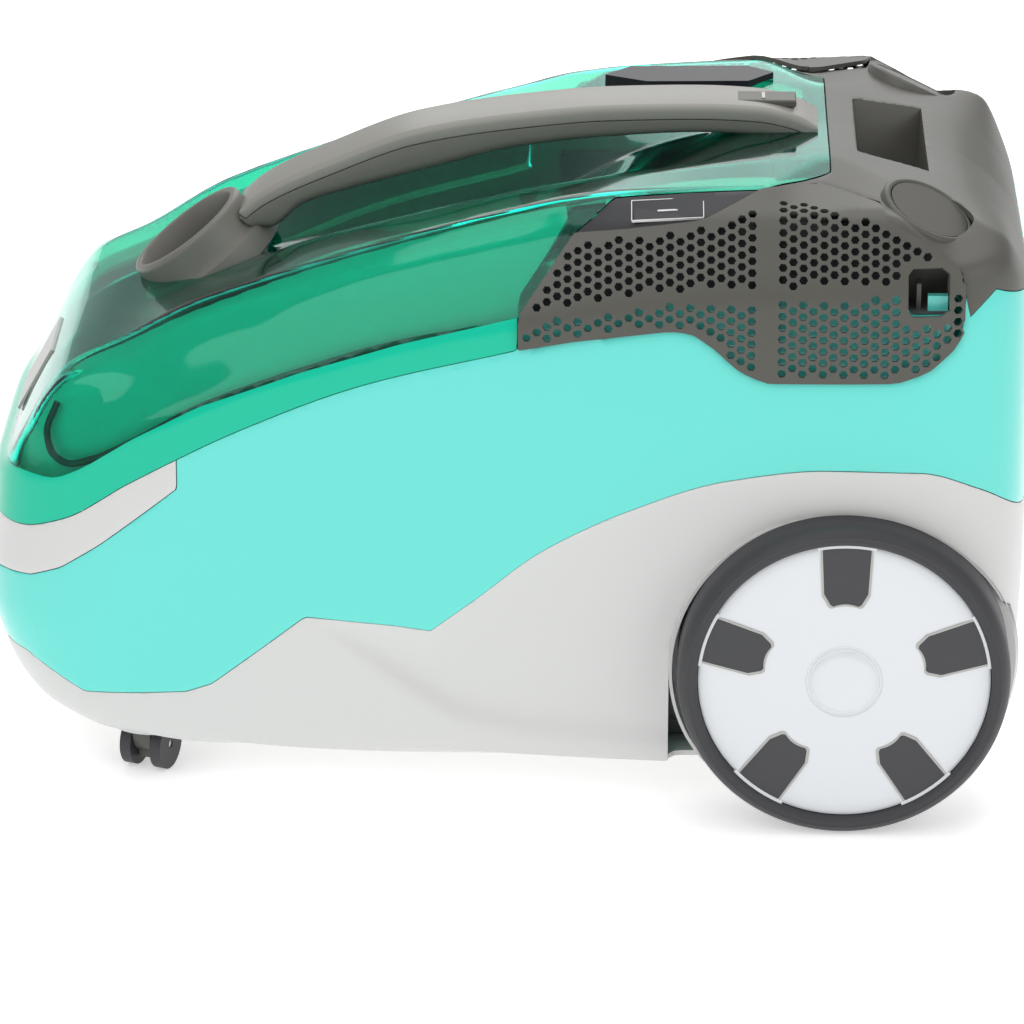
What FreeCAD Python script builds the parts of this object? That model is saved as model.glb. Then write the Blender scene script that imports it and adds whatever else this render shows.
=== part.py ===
"""Canister washing vacuum cleaner with a water filter, on two large wheels and two castors.

Units are millimetres. X runs from the nose (-X) to the back (+X), Y across, +Z up.
The origin is on the floor under the middle of the machine. Left is the -Y side.
"""
import FreeCAD, Part
import math
import os
import Sketcher

Vector = FreeCAD.Vector
UP = Vector(0, 0, 1)
ALONG = Vector(1, 0, 0)
ACROSS = Vector(0, 1, 0)

# ---------------------------------------------------------------- driving dimensions
DIMENSIONS = {
    "skin": 2.6,                # wall of the moulded housing
    "seam": 0.3,                # gap between neighbouring covers
    "floor_gap": 22,            # underside of the base above the floor
    "wheel_x": 158.5, "wheel_radius": 76, "wheel_width": 34, "track": 318,
    "tyre_depth": 9, "disc_width": 24, "disc_recess": 3.5, "hub_radius": 16, "hub_height": 1.2,
    "insert_inner": 36, "insert_length": 29, "insert_width": 22, "insert_depth": 2,
    "arch_radius": 80, "arch_z": 72, "well_y": 119,
    "axle_radius": 5, "running_gap": 0.05,
    "castor_x": -163, "castor_y": 80, "castor_well": 22, "castor_well_top": 36, "castor_turn": -21,
    "castor_wheel": 12, "castor_trail": 6, "castor_tread": 5.5, "castor_gap": 10, "stem_radius": 4,
    "port_x": -151, "port_z": 238.5, "port_tilt": 37, "port_bore": 26, "port_wall": 4.5,
    "port_height": 15, "duct_bore": 22, "duct_length": 62,
    "grip_width": 35, "grip_cap": 7,
    "button_x": 121.5, "button_length": 28, "button_width": 15, "button_top": 306, "button_height": 5.8,
    "round_button": 19, "round_travel": 4, "round_x": 194, "round_y": 95, "round_z": 282,
    "motor_x": 112, "motor_radius": 52, "motor_wall": 3, "motor_floor": 62, "motor_height": 110,
    "shaft_radius": 5, "rotor_radius": 30, "rotor_height": 50, "fan_radius": 44, "fan_height": 18,
    "mount_outer": 40, "mount_inner": 30, "mount_height": 8,
    "reel_x": 183, "reel_z": 125, "reel_radius": 66, "reel_core": 38, "reel_width": 38, "reel_pin": 6,
    "reel_flange": 3,
    "tank_x": -195, "tank_length": 175, "tank_half": 62, "tank_floor": 48, "tank_height": 102,
    "tank_wall": 2.4, "gasket": 3, "box_lid": 14,
    "clean_x": -12, "clean_length": 56, "clean_half": 88, "clean_floor": 60, "clean_height": 160,
    "pump_x": 62, "pump_y": -92, "pump_radius": 13, "pump_length": 44,
    "board_x": 55, "board_y": -98, "board_length": 70, "board_height": 44, "board_thick": 1.6,
    "filter_x": 25, "filter_length": 150, "filter_y": 112, "filter_thick": 8, "filter_height": 26,
    "gland_y": 62, "gland_z": 92, "gland_radius": 9, "gland_bore": 3.6,
    "hinge_x": -238.4, "hinge_z": 127.6, "hinge_pin": 0.9, "knuckle": 2.0,
    "pocket_x": 163, "pocket_length": 33, "pocket_half": 40, "pocket_floor": 252,
    "slot_x": 184, "slot_length": 18, "slot_z": 246, "slot_height": 20,
    "screw_radius": 3, "screw_height": 10,
}

doc = FreeCAD.newDocument("washing_vacuum")
sheet = doc.addObject("Spreadsheet::Sheet", "Dimensions")
for row, (alias, value) in enumerate(DIMENSIONS.items(), start=1):
    sheet.set("A%d" % row, alias)
    sheet.set("B%d" % row, str(value))
    sheet.setAlias("B%d" % row, alias)
doc.recompute()

nodes = []


def size(alias):
    """A driving dimension, read from the sheet."""
    return float(sheet.get(alias))


def bound(text):
    """Sheet aliases in an expression, written as references to the sheet."""
    words = text.replace("(", " ( ").replace(")", " ) ").split()
    return " ".join("Dimensions." + word if word in DIMENSIONS else word for word in words)


def node(obj, label):
    """Mark a document object as a sub-part that is written out under its label."""
    obj.Label = label
    nodes.append(obj)
    return obj


def primitive(kind, name, sizes, base, direction=UP):
    """A Part primitive bound to the sheet, with its base point and the direction of its axis."""
    obj = doc.addObject("Part::" + kind, name)
    for prop, expression in sizes.items():
        obj.setExpression(prop, bound(expression))
    obj.Placement = FreeCAD.Placement(Vector(*base), FreeCAD.Rotation(UP, direction))
    return obj


def box(name, length, width, height, base):
    return primitive("Box", name, {"Length": length, "Width": width, "Height": height}, base)


def rod(name, radius, height, base, direction=UP):
    return primitive("Cylinder", name, {"Radius": radius, "Height": height}, base, direction)


def cut(name, base, tool):
    obj = doc.addObject("Part::Cut", name)
    obj.Base = base
    obj.Tool = tool
    return obj


def fuse(name, *shapes):
    obj = doc.addObject("Part::MultiFuse", name)
    obj.Shapes = list(shapes)
    return obj


def formed(label, shape):
    """A free-form sub-part whose shape comes from Part's own functions."""
    obj = doc.addObject("Part::Feature", label + "_form")
    placement = shape.Placement
    obj.Shape = shape
    obj.Placement = placement
    return node(obj, label)


def origin_plane(body, role):
    return next(item for item in body.Origin.OriginFeatures if item.Role == role)


def ring_sketch(body, name, inner, outer, low, high):
    """A rectangle in the XZ plane from inner to outer radius and from low to high along the axis."""
    sketch = body.newObject("Sketcher::SketchObject", name)
    sketch.AttachmentSupport = (origin_plane(body, "XZ_Plane"), [""])
    sketch.MapMode = "FlatFace"
    corners = [Vector(10, 10, 0), Vector(20, 10, 0), Vector(20, 20, 0), Vector(10, 20, 0)]
    for start, end in zip(corners, corners[1:] + corners[:1]):
        sketch.addGeometry(Part.LineSegment(start, end), False)
    for index in range(4):
        sketch.addConstraint(Sketcher.Constraint("Coincident", index, 2, (index + 1) % 4, 1))
    for index in (0, 2):
        sketch.addConstraint(Sketcher.Constraint("Horizontal", index))
        sketch.addConstraint(Sketcher.Constraint("Vertical", index + 1))
    for kind, vertex, expression in (("DistanceX", (0, 1), inner), ("DistanceX", (1, 1), outer),
                                     ("DistanceY", (0, 1), low), ("DistanceY", (3, 1), high)):
        place = sketch.addConstraint(Sketcher.Constraint(kind, -1, 1, vertex[0], vertex[1], 15.0))
        sketch.setExpression("Constraints[%d]" % place, bound(expression))
    return sketch


def turned(label, rings, base, direction):
    """A turned body: rings given as (inner, outer, low, high), the first a solid, the rest grooves."""
    body = doc.addObject("PartDesign::Body", label + "_body")
    for index, section in enumerate(rings):
        sketch = ring_sketch(body, "%s_section_%d" % (label, index), *section)
        kind = "PartDesign::Revolution" if index == 0 else "PartDesign::Groove"
        feature = body.newObject(kind, "%s_turn_%d" % (label, index))
        feature.Profile = sketch
        feature.ReferenceAxis = (sketch, ["V_Axis"])
        feature.Angle = 360
        body.Tip = feature
    body.Placement = FreeCAD.Placement(Vector(*base), FreeCAD.Rotation(UP, direction))
    return body


# ---------------------------------------------------------------- the outer form
# Plan outlines of the hull: height, nose, tail and how much fuller than the middle it is.
HULL_LEVELS = [
    (22, -206, 225, -5), (34, -224, 233, -2), (55, -236, 238, 1), (85, -243, 242, 4),
    (130, -239, 243, 6), (180, -236, 243, 5), (230, -232, 243, 2), (270, -228, 240, -2),
    (310, -224, 236, -7),
]
NOSE_ROUNDNESS = 5.0
TAIL_ROUNDNESS = 7.0
HALF_WIDTH = 128
TAPER = 0.06
OUTLINE_POINTS = 48


def hull_outline(height, nose, tail, fuller, inset):
    """One closed plan outline: a super-ellipse, blunter at the tail and wider towards it."""
    points = []
    for step in range(OUTLINE_POINTS):
        turn = 2 * math.pi * step / OUTLINE_POINTS
        along, across = math.cos(turn), math.sin(turn)
        power = TAIL_ROUNDNESS if along > 0 else NOSE_ROUNDNESS
        reach = (tail if along > 0 else -nose) - inset
        x = reach * math.copysign(abs(along) ** (2 / power), along)
        half = HALF_WIDTH + TAPER * x + fuller - inset
        points.append(Vector(x, half * math.copysign(abs(across) ** (2 / power), across), height))
    curve = Part.BSplineCurve()
    knots = [step / OUTLINE_POINTS for step in range(OUTLINE_POINTS + 1)]
    curve.interpolate(Points=points, PeriodicFlag=True, Parameters=knots)
    return Part.Wire([curve.toShape()])


def hull(inset):
    return Part.makeLoft([hull_outline(*level, inset) for level in HULL_LEVELS], True, False)


# The top form at stations along X. Each station lists (half width, height) points from the
# side edge over the two shoulder creases and the rim of the middle trough to the centre line.
ROOF = [
    (-250, (110, 125), (90, 126), (80, 126), (40, 126), 126),
    (-240, (110, 144), (90, 144), (80, 144), (40, 144), 144),
    (-231, (100, 150), (97, 151), (84, 151), (40, 151), 151),
    (-222, (96, 152), (91, 162), (84, 166), (45, 168), 168),
    (-211, (103, 153), (93, 184), (82, 186), (45, 187), 187),
    (-199, (109, 157), (97, 198), (83, 200), (45, 201), 201),
    (-174, (118, 174), (100, 204), (84, 213), (46, 214), 216),
    (-140, (122, 192), (103, 219), (88, 233), (46, 227), 223),
    (-117, (124, 203), (104, 229), (90, 242), (46, 237), 228),
    (-93, (125, 212), (106, 239), (92, 250), (53, 250), 232),
    (-48, (128, 226), (109, 254), (95, 265), (60, 265), 238),
    (8, (130, 240), (111, 269), (96, 281), (64, 280), 250),
    (32, (131, 245), (112, 274), (97, 287), (66, 285), 262),
    (56, (132, 249), (115, 278), (97, 290), (67, 289), 275),
    (118, (135, 255), (118, 285), (98, 293), (62, 294), 292),
    (150, (136, 256), (119, 286), (56, 294), (50, 294), 293),
    (173, (136, 257), (120, 287), (72, 290), (45, 290), 289),
    (208, (131, 262), (130, 266), (92, 281), (48, 281), 280),
    (228, (118, 268), (116, 269), (104, 273), (50, 268), 266),
    (240, (110, 252), (104, 252), (96, 253), (50, 252), 252),
    (250, (110, 238), (104, 238), (96, 238), (50, 238), 238),
]
ROOF_EDGE = 190


def roof(drop):
    """Everything under the top form, lowered by the given amount."""
    wires = []
    for x, side, crease, shoulder, rim, middle in ROOF:
        slip = 0.55 * drop if x < -200 else 0
        half = [(ROOF_EDGE, 0), (ROOF_EDGE, side[1] - drop), (side[0], side[1] - drop)]
        half += [(y, z - drop) for y, z in (crease, shoulder, rim)]
        outline = half + [(0, middle - drop)] + [(-y, z) for y, z in reversed(half)]
        points = [Vector(x + slip, y, z) for y, z in outline]
        wires.append(Part.makePolygon(points + points[:1]))
    return Part.makeLoft(wires, True, True)


def wheel_wells(extra):
    """Both wheel arches, from the inner wall outwards."""
    depth = size("track") / 2 - size("well_y") + 30
    solids = []
    for side in (-1, 1):
        start = Vector(size("wheel_x"), side * (size("well_y") - extra), size("arch_z"))
        solids.append(Part.makeCylinder(size("arch_radius") + extra, depth, start, ACROSS * side))
        column = Part.makeBox(2 * (size("arch_radius") + extra), depth, size("wheel_radius") + 10)
        column.translate(Vector(size("wheel_x") - size("arch_radius") - extra,
                                start.y if side > 0 else start.y - depth, -10))
        solids.append(column)
    return solids


def castor_wells(extra):
    """Round recesses in the underside for the two castors."""
    return [Part.makeCylinder(size("castor_well") + extra, size("castor_well_top") + extra,
                              Vector(size("castor_x"), side * size("castor_y"), 0))
            for side in (-1, 1)]


SKIN = size("skin")
SEAM = size("seam")
SLEEVE = 2                      # wall of the tube round a round button
outer = hull(0).common(roof(0))
outer = outer.cut(wheel_wells(0) + castor_wells(0))
ROOF_DROP = 3.2
inner = hull(SKIN).common(roof(ROOF_DROP))
inner = inner.cut(wheel_wells(SKIN) + castor_wells(SKIN))
inner = inner.cut(Part.makeBox(700, 400, size("floor_gap") + SKIN + 10, Vector(-350, -200, -10)))
skin = outer.cut(inner)

# ---------------------------------------------------------------- where the covers part
# Side-view lines, as (x, z) points. A list inside a list is one smooth run.
PARTING = [(-260, 61), (-222, 60), (-194, 45), (-145, 51), (-133, 56), (-89, 93), (-47, 90), (-31, 88),
           [(-10, 105), (19, 129), (60, 151), (105, 167), (150, 173), (191, 172), (219, 162), (260, 125)]]
LID_SEAM = [(-260, 124), (-226, 125), [(-202, 133), (-169, 155), (-117, 184), (-62, 207), (9, 226)]]
BUMPER_FOOT = [(-260, 94), (-231, 100), [(-218, 102), (-203, 109), (-184, 123), (-147, 154)]]
GRILLE_FOOT = [(9, 226), (35, 231), (78, 237), (88, 236), [(98, 229), (109, 219), (121, 214)],
               (180, 215), [(194, 220), (206, 231), (210, 242)]]
REAR_FOOT = [(96, 297), (120, 292.5), (172, 288), (208, 265), (212, 244), (224, 255), (260, 238)]
LID_BACK = [(9, 226), (9, 241), (34, 275), (57, 292)]
SIDE_HALF = 200


def run(points):
    """Edges through a side-view line."""
    edges, last = [], None
    for item in points:
        if isinstance(item, list):
            spots = [Vector(x, 0, z) for x, z in item]
            if last is not None and last.distanceToPoint(spots[0]) > 0:
                spots.insert(0, last)
            curve = Part.BSplineCurve()
            curve.interpolate(spots)
            edges.append(curve.toShape())
            last = spots[-1]
        else:
            spot = Vector(item[0], 0, item[1])
            if last is not None:
                edges.append(Part.makeLine(last, spot))
            last = spot
    return edges


def ends(points):
    first = points[0][0] if isinstance(points[0], list) else points[0]
    last = points[-1][-1] if isinstance(points[-1], list) else points[-1]
    return first, last


def side_region(line, closing, shift=(0, 0)):
    """A block across the machine whose side view is a line closed by straight runs, moved by (x, z)."""
    first, last = ends(line)
    rest = [last] + closing + [first]
    edges = run(line)
    for (xa, za), (xb, zb) in zip(rest, rest[1:]):
        edges.append(Part.makeLine(Vector(xa, 0, za), Vector(xb, 0, zb)))
    face = Part.Face(Part.Wire(Part.__sortEdges__(edges)))
    face.translate(Vector(shift[0], -SIDE_HALF, shift[1]))
    return face.extrude(Vector(0, 2 * SIDE_HALF, 0))


def plan_region(points, low, high):
    """An upright block over a plan outline."""
    spots = [Vector(x, y, low) for x, y in points]
    return Part.Face(Part.makePolygon(spots + spots[:1])).extrude(Vector(0, 0, high - low))


HIGH = 340
below_parting = side_region(PARTING, [(260, -10), (-260, -10)])
above_parting = side_region(PARTING, [(260, HIGH), (-260, HIGH)], (0, SEAM))
lid_front = side_region(LID_SEAM + LID_BACK[1:], [(60, HIGH), (-260, HIGH)])
lid_front_clear = side_region(LID_SEAM + LID_BACK[1:], [(60, HIGH), (-260, HIGH)], (SEAM, -SEAM))


def lid_tail(grow):
    """The lid behind the slanted edges, narrowing to the rear cover, and the trough under the grip."""
    trough, wide, narrow = 64 + grow, 99 + grow, 53 + grow
    half = [(-20, trough), (48, trough), (48, wide), (119, wide), (146 + grow, narrow)]
    outline = half + [(150 + grow, 0)] + [(x, -y) for x, y in reversed(half)]
    return plan_region(outline, 240, HIGH)


lid_zone = lid_front.fuse(lid_tail(0))
lid_zone_clear = lid_front_clear.fuse(lid_tail(SEAM))
bumper_zone = side_region(BUMPER_FOOT, [(-147, 200), (-260, 200)])
bumper_zone_clear = side_region(BUMPER_FOOT, [(-147, 200), (-260, 200)], (SEAM, -SEAM))
grille_zone = side_region(GRILLE_FOOT, [(210, 310), (9, 310)])
grille_zone_clear = side_region(GRILLE_FOOT, [(210, 310), (9, 310)], (SEAM, -SEAM))
rear_zone = side_region(REAR_FOOT, [(260, HIGH), (96, HIGH)])
rear_zone_clear = side_region(REAR_FOOT, [(260, HIGH), (96, HIGH)], (0, -SEAM))
PANEL_EDGE = [(34, 275), (92, 283), (119, 292.6), (119, HIGH), (34, HIGH)]


def panel_block(side):
    """The region of the control panel beside the lid's edge."""
    start = 92 if side > 0 else -126
    face = Part.Face(Part.makePolygon([Vector(x, start, z) for x, z in PANEL_EDGE + PANEL_EDGE[:1]]))
    return face.extrude(Vector(0, 34, 0))


# ---------------------------------------------------------------- the covers
def facet_placement(x, y, z, normal):
    return FreeCAD.Placement(Vector(x, y, z), FreeCAD.Rotation(UP, normal))


def facet_normal(side):
    """Outward normal of the sloping facet that carries a round button."""
    along, across, rise = 0.42, 0.20, 0.88
    return Vector(along, side * across, rise).normalize()


def facet_rod(side, radius, low, high):
    """A short cylinder standing on a button facet."""
    normal = facet_normal(side)
    spot = Vector(size("round_x"), side * size("round_y"), size("round_z")) + normal * low
    return Part.makeCylinder(radius, high - low, spot, normal)


port_axis = Vector(-math.sin(math.radians(size("port_tilt"))), 0,
                   math.cos(math.radians(size("port_tilt"))))
port_rim = Vector(size("port_x"), 0, size("port_z"))


def port_rod(radius, low, high):
    """A cylinder on the hose port's axis, measured from its rim."""
    return Part.makeCylinder(radius, high - low, port_rim + port_axis * low, port_axis)


def slot_block(side, extra):
    """The recess beside the rear cover where an accessory hooks in."""
    depth = 40
    start = side * (112 - extra)
    low_y = start if side > 0 else start - depth
    return Part.makeBox(size("slot_length") + 2 * extra, depth, size("slot_height") + 2 * extra,
                        Vector(size("slot_x") - extra, low_y, size("slot_z") - extra))


hinge_y = [(25, 37.7), (38, 50), (50.3, 63)]


def hinge_rods(radius, spans, sides=(-1, 1)):
    """Short cylinders on the lid's hinge line."""
    solids = []
    for side in sides:
        for low, high in spans:
            start = Vector(size("hinge_x"), low if side > 0 else -high, size("hinge_z"))
            solids.append(Part.makeCylinder(radius, high - low, start, ACROSS))
    return solids


def hinge_notches(spans, depth):
    """Clearance for hinge knuckles in the neighbouring cover."""
    solids = []
    for side in (-1, 1):
        for low, high in spans:
            start = (low if side > 0 else -high) - SEAM
            solids.append(Part.makeBox(12, high - low + 2 * SEAM, depth,
                                       Vector(size("hinge_x") - 5, start, size("hinge_z") - depth / 2)))
    return solids


def bosses():
    """Castor sockets, a ring under the motor and axle bosses, moulded into the base."""
    solids = []
    floor = size("floor_gap") + 0.5
    for side in (-1, 1):
        start = Vector(size("castor_x"), side * size("castor_y"), size("castor_well_top") + 0.5)
        solids.append(Part.makeCylinder(8, 20, start))
        axle_start = Vector(size("wheel_x"), side * (size("well_y") - SKIN + 0.5), size("wheel_radius"))
        solids.append(Part.makeCylinder(11, 14, axle_start, ACROSS * -side))
    ring = Part.makeCylinder(size("mount_outer"), size("motor_floor") - size("mount_height") - floor,
                             Vector(size("motor_x"), 0, floor))
    solids.append(ring.cut(Part.makeCylinder(size("mount_inner"), 80, Vector(size("motor_x"), 0,
                                                                             floor - 5))))
    for x, y in SCREW_SPOTS:
        solids.append(Part.makeCylinder(7, 24, Vector(x, y, floor)))
    return solids


SCREW_SPOTS = [(-60, -86), (-60, 86), (40, -86), (40, 86)]


def base_holes():
    """Bores for the castor stems, the axles, the screws and the cord gland."""
    solids = []
    for side in (-1, 1):
        start = Vector(size("castor_x"), side * size("castor_y"), size("castor_well_top") - 5)
        solids.append(Part.makeCylinder(size("stem_radius") + size("running_gap"), 25, start))
        axle_start = Vector(size("wheel_x"), side * (size("well_y") + 5), size("wheel_radius"))
        solids.append(Part.makeCylinder(size("axle_radius"), 18, axle_start, ACROSS * -side))
    for x, y in SCREW_SPOTS:
        solids.append(Part.makeCylinder(size("screw_radius"), size("screw_height") + 2,
                                        Vector(x, y, size("floor_gap") - 0.01)))
    solids.append(Part.makeCylinder(size("gland_radius"), 40, Vector(215, size("gland_y"),
                                                                     size("gland_z")), ALONG))
    return solids


KEY_DEPTH = 1.6
KEY_X, KEY_Y, KEY_Z = 76, 108, 285.4


def key_block(side, length, width, low, high):
    """A plate lying in the slope of a control panel."""
    normal = Vector(-0.06, side * 0.36, 0.93).normalize()
    block = Part.makeBox(length, width, high - low, Vector(-length / 2, -width / 2, low))
    block.Placement = facet_placement(KEY_X, side * KEY_Y, KEY_Z, normal)
    return block


def key_pit(side):
    """The pit a panel key sits in, with a seam round it."""
    return key_block(side, 30.6, 12.6, -KEY_DEPTH - 1, 12)


def biggest(shape):
    """The main solid of a trimmed cover, without slivers left beside a seam."""
    return max(shape.Solids, key=lambda solid: solid.Volume)


covers = skin.cut([lid_zone_clear])
base_shape = biggest(skin.common(below_parting).fuse(bosses()).cut(base_holes()))
formed("base_pan", base_shape)

body = covers.common(above_parting).cut([bumper_zone_clear, grille_zone_clear, rear_zone_clear])
body = biggest(body.cut([slot_block(-1, 0), slot_block(1, 0)]))
formed("body_shell", body)

hinge_sweep = Part.makeCylinder(4.2, 2 * SIDE_HALF, Vector(size("hinge_x"), -SIDE_HALF, size("hinge_z")),
                                ACROSS)
bumper = covers.common(bumper_zone).cut(hinge_notches(hinge_y, 6) + [hinge_sweep])
formed("front_bumper", biggest(bumper))

middle = Part.makeBox(200, 190, 120, Vector(40, -95, 240))
grilles = covers.common(grille_zone).cut([rear_zone_clear, panel_block(-1), panel_block(1), middle])
for side, label in ((-1, "vent_grille_left"), (1, "vent_grille_right")):
    half_space = Part.makeBox(700, 300, 400, Vector(-350, 0 if side > 0 else -300, 0))
    sleeve_space = facet_rod(side, size("round_button") + SLEEVE + 2 * SEAM, -15, 20)
    grille = grilles.common(half_space).cut([slot_block(side, 0), sleeve_space, key_pit(side)])
    formed(label, biggest(grille))

pocket = Part.makeBox(size("pocket_length"), 2 * size("pocket_half"), 80,
                      Vector(size("pocket_x"), -size("pocket_half"), size("pocket_floor")))
pocket_walls = Part.makeBox(size("pocket_length") + 2 * SKIN, 2 * (size("pocket_half") + SKIN), 80,
                            Vector(size("pocket_x") - SKIN, -size("pocket_half") - SKIN,
                                   size("pocket_floor") - SKIN)).common(outer)
rear = covers.common(rear_zone).fuse(pocket_walls).cut(pocket)
for side in (-1, 1):
    sleeve = facet_rod(side, size("round_button") + SEAM + SLEEVE, -14, 1).common(outer)
    rear = rear.fuse(sleeve).cut(facet_rod(side, size("round_button") + SEAM, -12, 20))
    rear = rear.cut(slot_block(side, 0))
formed("rear_cover", biggest(rear))

for side, label in ((-1, "rewind_button"), (1, "power_button")):
    formed(label, facet_rod(side, size("round_button"), -6, 0.6))

thick = outer.cut(hull(6).common(roof(6)))
for side, label, key in ((-1, "touch_panel_left", "minus_key"), (1, "touch_panel_right", "plus_key")):
    panel = thick.common(panel_block(side)).cut([lid_zone_clear, rear_zone_clear])
    panel = panel.cut(key_pit(side))
    formed(label, biggest(panel))
    formed(key, key_block(side, 30, 12, -KEY_DEPTH, -0.2))

COVER_PLAN = [(46, 58), (58, 72), (114, 74), (126, 64), (114, 50), (66, 48)]
formed("filler_cover", biggest(plan_region(COVER_PLAN, 270, 297).cut(outer)))

# ---------------------------------------------------------------- the lid, its port and its handle
GRIP_TOP = [(-111, 264), (-82, 277), (-40, 293), (7, 301), (49, 305), (91, 306), (116, 305), (135, 301),
            (146, 295)]
GRIP_FOOT = [(-110, 240), (-94, 255), (-35, 273), (7, 284), (44, 289), (91, 292), (138, 288)]


def grip(offset_top, offset_foot, width):
    """The handle bar between its top and foot lines, moved down from the top and up from the foot."""
    outline = [(x, z - offset_top) for x, z in GRIP_TOP]
    outline += [(x, z + offset_foot) for x, z in reversed(GRIP_FOOT)]
    spots = [Vector(x, -width / 2, z) for x, z in outline]
    bar = Part.Face(Part.makePolygon(spots + spots[:1])).extrude(Vector(0, width, 0))
    return bar


lid = skin.common(lid_zone)
lid = lid.fuse(hinge_rods(size("knuckle"), hinge_y[1:2]))
lid = lid.cut(hinge_rods(size("hinge_pin") + size("running_gap"), [(24, 64)]))
lid = lid.cut(hinge_notches([hinge_y[0], hinge_y[2]], 7))
flange_form = port_rod(size("port_bore") + size("port_wall") + 5, -26, -size("port_height"))
stem_pit = Part.makeCylinder(3.3, 30, Vector(size("button_x"), 0, 283))
ring_form = port_rod(size("port_bore") + size("port_wall"), -size("port_height"), 0)
ring_space = port_rod(size("port_bore") + size("port_wall"), -size("port_height"), 20)
lid = lid.cut([port_rod(size("duct_bore") + 3.3, -60, 10), flange_form, ring_space, stem_pit])
formed("lid_shell", biggest(lid))

ring = ring_form.fuse(flange_form)
ring = ring.cut([port_rod(size("port_bore"), -size("port_height"), 1),
                 port_rod(size("duct_bore") + 3, -30, -size("port_height"))])
formed("hose_port_ring", ring.removeSplitter())

seal = port_rod(size("duct_bore") + 3, -18.5, -size("port_height"))
formed("hose_port_seal", seal.cut(port_rod(size("duct_bore"), -20, -10)))
duct = port_rod(size("duct_bore") + 3, -size("duct_length"), -18.5)
formed("duct_elbow", duct.cut(port_rod(size("duct_bore"), -90, 0)))

bar_width = size("grip_width")
whole = grip(0, 0, bar_width).cut([outer, port_rod(size("port_bore") + size("port_wall") + 5, -26, 12)])
cap_zone = grip(0, 0, bar_width + 2).cut(grip(size("grip_cap"), -40, bar_width + 4))
button_pit = Part.makeBox(size("button_length") + 0.6, size("button_width") + 0.6, 30,
                          Vector(size("button_x") - size("button_length") / 2 - 0.3,
                                 -size("button_width") / 2 - 0.3,
                                 size("button_top") - size("button_height") - 3.3))
formed("handle_upper", biggest(whole.common(cap_zone).cut([button_pit, stem_pit])))
formed("handle_lower", biggest(whole.cut([cap_zone, button_pit, stem_pit])))

plate = box("release_plate", "button_length", "button_width", "button_height",
            (size("button_x") - size("button_length") / 2, -size("button_width") / 2,
             size("button_top") - size("button_height")))
stem = primitive("Cylinder", "release_stem", {"Radius": "3", "Height": "8"},
                 (size("button_x"), 0, size("button_top") - size("button_height") - 7))
node(fuse("release_button_form", plate, stem), "release_button")

badge_spots = [Vector(-230.5, 0, 152), Vector(-211, 0, 187)]
badge_run = (badge_spots[1] - badge_spots[0]).normalize()
badge_out = Vector(-badge_run.z, 0, badge_run.x)
badge = Part.makeBox(34, 46, 2, Vector(0, -23, -0.6))
badge.Placement = FreeCAD.Placement(badge_spots[0] + badge_run * 3,
                                    FreeCAD.Rotation(badge_run, Vector(0, -1, 0), badge_out, "ZXY"))
formed("lid_badge", badge.cut(outer))

HOOK_PIVOT = Vector(128, 0, 282)
shank = Part.makeBox(5, 14, 28, Vector(125.5, -7, 257)).fuse(Part.makeBox(8, 14, 4, Vector(127.5, -7, 254)))
shank = shank.cut(Part.makeCylinder(1.55, 20, HOOK_PIVOT - ACROSS * 10, ACROSS))
formed("latch_hook", shank.removeSplitter())
ears = [Part.makeBox(9, 3, 12, Vector(123.5, y, 277)) for y in (-10.5, 7.5)]
ears = [biggest(ear.common(inner)).cut(Part.makeCylinder(1.5, 40, HOOK_PIVOT - ACROSS * 20, ACROSS))
        for ear in ears]
formed("latch_bracket", Part.makeCompound(ears))
formed("latch_pin", Part.makeCylinder(1.5, 21, HOOK_PIVOT - ACROSS * 10.5, ACROSS))
keeper = Part.makeBox(3, 26, 40, Vector(153, -13, 259)).common(inner)
keeper = keeper.fuse(Part.makeBox(17, 20, 3, Vector(136.4, -10, 259))).removeSplitter()
formed("latch_keeper", keeper)

formed("hinge_pins", Part.makeCompound(hinge_rods(size("hinge_pin"), [(25, 63)])))
leaves = []
for side in (-1, 1):
    spans = [hinge_y[0], hinge_y[2]]
    knuckles = hinge_rods(size("knuckle"), spans, (side,))
    low, high = hinge_y[0][0], hinge_y[2][1]
    leaf = Part.makeBox(1.4, high - low, 24.4, Vector(-234.4, low if side > 0 else -high, 104))
    arms = [Part.makeBox(5, b - a, 2.4, Vector(size("hinge_x"), a if side > 0 else -b, size("hinge_z") - 2))
            for a, b in spans]
    leaf = knuckles[0].fuse(knuckles[1:] + arms + [leaf])
    leaves.append(leaf.cut(hinge_rods(size("hinge_pin"), [(20, 70)])))
formed("hinge_bracket", Part.makeCompound(leaves))

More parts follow.
